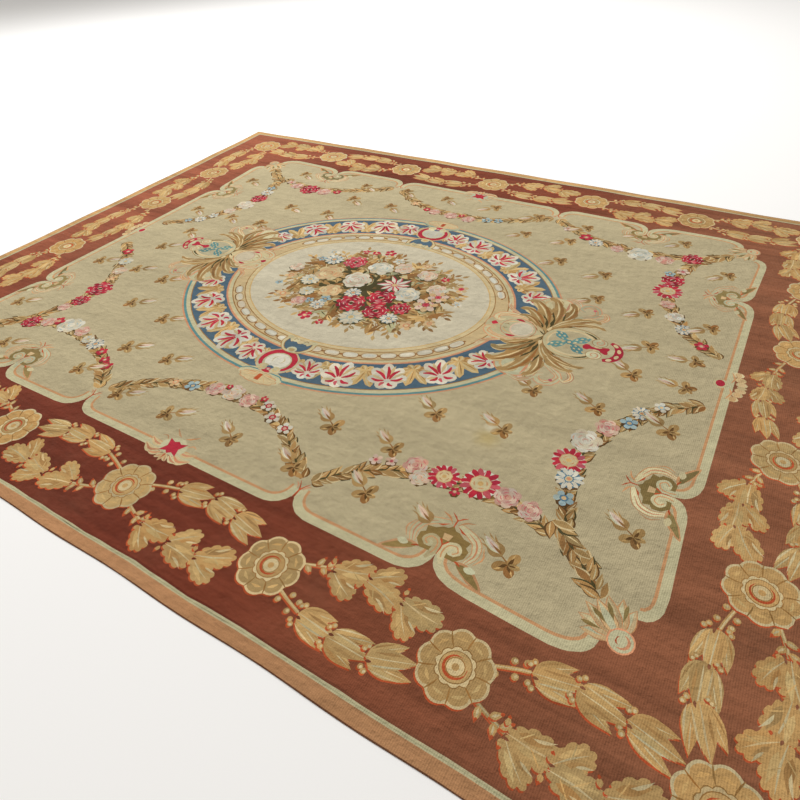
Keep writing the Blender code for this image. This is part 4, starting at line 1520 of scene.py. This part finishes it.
for upper, lower in ((top_ring, rim_numbers), (rim_numbers, under_ring)):
    next_upper, next_lower = np.roll(upper, -1), np.roll(lower, -1)
    quads += [np.stack([upper, lower, next_lower], 1), np.stack([upper, next_lower, next_upper], 1)]
rim_triangles = np.vstack(quads)
triangles = np.vstack([top_triangles, rim_triangles, under_triangles[:, ::-1] + len(top) + len(rim)])

mesh = bpy.data.meshes.new("woven_rug_cloth")
mesh.vertices.add(len(places))
mesh.vertices.foreach_set("co", places.ravel())
mesh.loops.add(triangles.size)
mesh.loops.foreach_set("vertex_index", triangles.ravel())
mesh.polygons.add(len(triangles))
mesh.polygons.foreach_set("loop_start", np.arange(0, triangles.size, 3))
mesh.polygons.foreach_set("use_smooth", np.ones(len(triangles), bool))
mesh.update(calc_edges=True)


def linear(hex_colours):
    """Linear RGB rows of sRGB hex colours: x / 12.92 up to 0.04045, above it ((x + 0.055) / 1.055)^2.4."""
    x = np.array([[int(text[first:first + 2], 16) / 255 for first in (0, 2, 4)] for text in hex_colours])
    return np.where(x <= 0.04045, x / 12.92, ((x + 0.055) / 1.055) ** 2.4)


dye_lots = np.random.default_rng(7).normal(0, 1, (len(design), 2))
dye_lots[spread > GROUND_PATCH_SIZE] = 0
patch_colour = linear(DYES.values())[dye_number]
patch_colour = patch_colour * (1 + 0.09 * dye_lots[:, :1] + np.outer(0.04 * dye_lots[:, 1], (1, 0, -1)))
face_patch = np.concatenate([top_patches, np.zeros(len(rim_triangles), int), under_patches])
# The border's madder is tinted across the rug: browner to the right, paler at the left end as painted light
# from the window side, and darker near the front side as painted shade. Each tint's share is worked out at
# the triangles' corners
madder = np.isin(dye_number[face_patch],
                 [list(DYES).index(dye) for dye in ("madder", "dark_madder")])[:, None]
corner_x, corner_y = places[triangles][:, :, :2].transpose(2, 0, 1)
madder_tints_and_painted_light = (
    ("8B593F", 0.95 * np.clip((corner_x - 0.50) / 1.30, 0, 1)),
    # Paler at the left end: painted light
    ("96573F", 0.90 * np.clip((-corner_x - 0.90) / 1.10, 0,
                              1) * np.clip((corner_y + 1.50) / 1.30, 0.15, 1)),
    # Darker near the front side: painted shade
    ("6B3224", 0.80 * np.clip((-corner_y - 0.90) / 0.50, 0, 1) * np.clip((1.00 - corner_x) / 0.90, 0, 1)),
)
dye_and_painted_light = np.repeat(patch_colour[face_patch][:, None, :], 3, axis=1)
for tint_colour, share in madder_tints_and_painted_light:
    share = (madder * share)[:, :, None]
    dye_and_painted_light = dye_and_painted_light * (1 - share) + linear([tint_colour])[0] * share
colours = np.ones((len(triangles), 3, 4))
colours[:, :, :3] = np.clip(dye_and_painted_light, 0.01, 0.95)
# The corners' colours hold the dyes and the painted light and shade on the madder
colour_layer = mesh.attributes.new("weft_colour_and_painted_light", "FLOAT_COLOR", "CORNER")
colour_layer.data.foreach_set("color", colours.ravel())
uneven = np.isin(dye_number,
                 [list(DYES).index(dye) for dye in ("madder", "dark_madder", "terracotta", "band_gold")])
uneven_layer = mesh.attributes.new("dye_unevenness", "FLOAT", "FACE")
uneven_layer.data.foreach_set("value", np.where(uneven[face_patch], 1.0, 0.30))

# The cloth's map: the upper face fills the width, the underside and the rim lie small above it
FRONT_SCALE = 0.98 / 4.64
BACK_SCALE = 0.155 / 3.71
flat_uv = np.vstack([top * FRONT_SCALE + (0.5, 0.405), np.zeros_like(rim),
                     under * BACK_SCALE + (0.20, 0.895)])
corner_uv = flat_uv[triangles]
rim_way = np.concatenate([[0], np.cumsum(np.linalg.norm(np.diff(rim, axis=0), axis=1))])
rim_way = np.append(rim_way / (rim_way[-1] + 0.05) * 0.55 + 0.40, 0.951)
around = np.arange(len(rim))
for block, (upper, lower) in enumerate(((0.0, 0.5), (0.5, 1.0))):
    rows = 0.985 - 0.012 * np.array((upper, lower))
    left, right = rim_way[around], rim_way[around + 1]
    start = len(top_triangles) + 2 * block * len(rim)
    corner_uv[start:start + len(rim)] = np.stack([
        np.stack([left, np.full(len(rim), rows[0])], 1), np.stack([left, np.full(len(rim), rows[1])], 1),
        np.stack([right, np.full(len(rim), rows[1])], 1)], 1)
    start += len(rim)
    corner_uv[start:start + len(rim)] = np.stack([
        np.stack([left, np.full(len(rim), rows[0])], 1), np.stack([right, np.full(len(rim), rows[1])], 1),
        np.stack([right, np.full(len(rim), rows[0])], 1)], 1)
uv_layer = mesh.uv_layers.new(name="OFBake")
uv_layer.data.foreach_set("uv", corner_uv.ravel())
rug = bpy.data.objects.new("woven_rug_cloth", mesh)
bpy.context.collection.objects.link(rug)

# Its puckers, creases and ribs are also painted into the colour as shade and highlight.
# The wool
# Weft of hand-spun wool packed over thicker warps: matt, ribbed along the warp, streaked along the weft where
# the dye took unevenly, and worn paler in patches.
# Real ribs stand 4.5 mm apart and weft rows under 1 mm, too fine for the picture, so both are drawn coarser
RIB_SPACING = 0.0065
WEFT_ROW_WIDTH = 0.0028


def add_node(tree, kind, links=None, **values):
    """A shader node with its settings and socket values; links maps its inputs to other nodes' outputs."""
    node = tree.nodes.new(kind)
    for name, value in values.items():
        if hasattr(node, name):
            setattr(node, name, value)
        else:
            node.inputs[name.replace("_", " ")].default_value = value
    for name, source in (links or {}).items():
        tree.links.new(source, node.inputs[name])
    return node


def stretched_noise(tree, place_out, scale, detail=3.0, roughness=0.55):
    """Noise in [0, 1] with its own scale along X, Y and Z, in cells a metre."""
    mapping = add_node(tree, "ShaderNodeMapping", {"Vector": place_out})
    mapping.inputs["Scale"].default_value = scale
    noise = add_node(tree, "ShaderNodeTexNoise", {"Vector": mapping.outputs["Vector"]})
    noise.inputs["Scale"].default_value = 1.0
    noise.inputs["Detail"].default_value = detail
    noise.inputs["Roughness"].default_value = roughness
    return noise.outputs["Fac"]


def value_of(tree, operation, *values):
    """Result of a calculation on outputs or numbers."""
    node = add_node(tree, "ShaderNodeMath", operation=operation)
    for socket, value in zip(node.inputs, values):
        if isinstance(value, (int, float)):
            socket.default_value = value
        else:
            tree.links.new(value, socket)
    return node.outputs["Value"]


def spread_of(tree, noise_out, low, high, least, most):
    """A noise's part from low to high, stretched smoothly to least to most."""
    node = add_node(tree, "ShaderNodeMapRange", {"Value": noise_out}, interpolation_type="SMOOTHSTEP",
                    From_Min=low, From_Max=high, To_Min=least, To_Max=most)
    return node.outputs["Result"]


wool = bpy.data.materials.new("weft_faced_wool_tapestry")
wool.use_nodes = True
tree = wool.node_tree
tree.nodes.clear()
place_out = add_node(tree, "ShaderNodeTexCoord").outputs["Object"]
colour_node = add_node(tree, "ShaderNodeAttribute")
colour_node.attribute_name = "weft_colour_and_painted_light"
uneven_node = add_node(tree, "ShaderNodeAttribute")
uneven_node.attribute_name = "dye_unevenness"
uneven_out = uneven_node.outputs["Fac"]
bands = stretched_noise(tree, place_out, (0.5, 6.0, 1.0), 4.0, 0.60)
streaks = stretched_noise(tree, place_out, (2.5, 40.0, 1.0), 4.0, 0.65)
# The puckers and creases of the rumpled cloth: they make its bumps and, in its colour, its painted shade and
# highlight
pucker_relief_and_shade = stretched_noise(tree, place_out, (8.0, 10.0, 4.0), 4.0, 0.60)
crease_relief_and_shade = stretched_noise(tree, place_out, (22.0, 27.0, 8.0), 5.0, 0.60)
weft = stretched_noise(tree, place_out, (45.0, 1 / WEFT_ROW_WIDTH, 1.0), 2.0, 0.60)
knots = stretched_noise(tree, place_out, (1 / RIB_SPACING, 1 / WEFT_ROW_WIDTH, 1.0), 1.0, 0.50)
separate = add_node(tree, "ShaderNodeSeparateXYZ", {"Vector": place_out})
rib_shift = value_of(tree, "MULTIPLY", pucker_relief_and_shade, 5.0)
rib_phase = value_of(tree, "MULTIPLY_ADD", separate.outputs["X"], math.tau / RIB_SPACING, rib_shift)
ribs = value_of(tree, "MULTIPLY_ADD", value_of(tree, "SINE", rib_phase), 0.5, 0.5)
# Bands and streaks along the weft, where one lot of dyed yarn ran out and the next began
abrash = value_of(tree, "ADD", value_of(tree, "MULTIPLY_ADD", bands, 1.3, -0.65),
                  value_of(tree, "MULTIPLY_ADD", streaks, 0.7, -0.35))
shade = value_of(tree, "MULTIPLY_ADD", abrash, uneven_out, 1.0)
# Each pattern lightens and darkens the wool by up to half its strength: the puckers' and creases' noises as
# painted shade and highlight of the rumpled cloth, the ribs' sine as painted shade between the ribs, and the
# weft rows and knots as the yarn's uneven tone
for pattern, strength in ((pucker_relief_and_shade, 0.23), (crease_relief_and_shade, 0.30), (weft, 0.30), (knots, 0.42), (ribs, 0.06)):
    shade = value_of(tree, "ADD", shade, value_of(tree, "MULTIPLY_ADD", pattern, strength, -strength / 2))
shaded = add_node(tree, "ShaderNodeVectorMath")
shaded.operation = "SCALE"
tree.links.new(colour_node.outputs["Color"], shaded.inputs[0])
tree.links.new(shade, shaded.inputs["Scale"])
wear = stretched_noise(tree, place_out, (2.6, 3.4, 1.0), 5.0, 0.65)
worn = add_node(tree, "ShaderNodeMix")
worn.data_type = "RGBA"
tree.links.new(spread_of(tree, wear, 0.45, 0.75, 0.0, 0.035), worn.inputs[0])
tree.links.new(shaded.outputs["Vector"], worn.inputs[6])
worn.inputs[7].default_value = (*linear(["C2A984"])[0], 1.0)
stained_and_shaded = worn.outputs[2]
# A yellowish stain and a bleached spot. Columns: middle, radius, colour, strength
for middle, radius, stain_colour, strength in (
    ((1.02, -0.70, 0.0), 0.075, "B79E55", 0.45),
    ((1.01, -0.64, 0.0), 0.035, "D6CFB4", 0.55),
):
    away = add_node(tree, "ShaderNodeVectorMath", {"Vector": place_out})
    away.operation = "DISTANCE"
    away.inputs[1].default_value = middle
    ragged = value_of(tree, "MULTIPLY_ADD", crease_relief_and_shade, 0.06, away.outputs["Value"])
    stain = add_node(tree, "ShaderNodeMix")
    stain.data_type = "RGBA"
    tree.links.new(spread_of(tree, ragged, 0.03, 0.03 + radius, strength, 0.0), stain.inputs[0])
    tree.links.new(stained_and_shaded, stain.inputs[6])
    stain.inputs[7].default_value = (*linear([stain_colour])[0], 1.0)
    stained_and_shaded = stain.outputs[2]
height = value_of(tree, "MULTIPLY_ADD", ribs, 0.0005, value_of(tree, "MULTIPLY", weft, 0.0009))
height = value_of(tree, "MULTIPLY_ADD", crease_relief_and_shade, 0.010, height)
height = value_of(tree, "MULTIPLY_ADD", pucker_relief_and_shade, 0.014, height)
bump = add_node(tree, "ShaderNodeBump", {"Height": height})
bump.inputs["Strength"].default_value = 1.0
bump.inputs["Distance"].default_value = 1.0
shader = add_node(tree, "ShaderNodeBsdfPrincipled",
                  {"Base Color": stained_and_shaded, "Normal": bump.outputs["Normal"]})
shader.inputs["Roughness"].default_value = 0.95
shader.inputs["Specular IOR Level"].default_value = 0.06
shader.inputs["Sheen Weight"].default_value = 0.02
shader.inputs["Sheen Roughness"].default_value = 0.5
add_node(tree, "ShaderNodeOutputMaterial", {"Surface": shader.outputs["BSDF"]})
mesh.materials.append(wool)
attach(rug, "root")
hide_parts("woven_rug")

# The room
# A plain pale floor under soft, even light from above and from the far left, as by a wide window.
floor_mesh = bpy.data.meshes.new("floor")
floor_mesh.from_pydata([(-60, -60, 0), (60, -60, 0), (60, 60, 0), (-60, 60, 0)], [], [(0, 1, 2, 3)])
floor = bpy.data.objects.new("floor", floor_mesh)
bpy.context.collection.objects.link(floor)
floor_finish = bpy.data.materials.new("plain_pale_floor")
floor_finish.use_nodes = True
floor_shader = floor_finish.node_tree.nodes["Principled BSDF"]
floor_shader.inputs["Base Color"].default_value = (*linear(["FAF9F7"])[0], 1.0)
floor_shader.inputs["Roughness"].default_value = 0.8
floor_mesh.materials.append(floor_finish)
world = bpy.data.worlds.new("soft_room_light")
bpy.context.scene.world = world
world.use_nodes = True
world.node_tree.nodes["Background"].inputs["Color"].default_value = (1.0, 0.97, 0.93, 1.0)
world.node_tree.nodes["Background"].inputs["Strength"].default_value = 0.54
WINDOW_PLACE = (-5.5, 5.0, 7.0)
WINDOW_DIRECTION = (-5.5, 5.0, 6.6)
light_data = bpy.data.lights.new("window_light", "AREA")
light_data.shape = "RECTANGLE"
light_data.size = 9.0
light_data.size_y = 6.0
light_data.energy = 960.0
light = bpy.data.objects.new("window_light", light_data)
light_turn = Vector(WINDOW_DIRECTION).to_track_quat("Z", "Y").to_matrix().to_4x4()
light.matrix_world = Matrix.Translation(WINDOW_PLACE) @ light_turn
bpy.context.collection.objects.link(light)

# The camera
CAMERA_PLACE = Vector((1.6345 - centring[0], -2.2589 - centring[1], 1.6567))
# Turns about the camera's own Z, X and Z, in radians, and its focal length in pixels of the 800 pixel picture
CAMERA_TURNS = (0.573942, 0.854382, -0.059890)
FOCAL_LENGTH_IN_PIXELS = 604.773
camera_data = bpy.data.cameras.new("camera")
camera_data.sensor_width = 36.0
camera_data.lens = FOCAL_LENGTH_IN_PIXELS / 800 * camera_data.sensor_width
camera_data.dof.use_dof = False
camera_data.clip_end = 100.0
camera = bpy.data.objects.new("camera", camera_data)
camera.matrix_world = (Matrix.Translation(CAMERA_PLACE) @ Matrix.Rotation(CAMERA_TURNS[0], 4, "Z")
                       @ Matrix.Rotation(CAMERA_TURNS[1], 4,
                                         "X") @ Matrix.Rotation(CAMERA_TURNS[2], 4, "Z"))
bpy.context.collection.objects.link(camera)
bpy.context.scene.camera = camera
bpy.context.scene.view_settings.view_transform = "Standard"
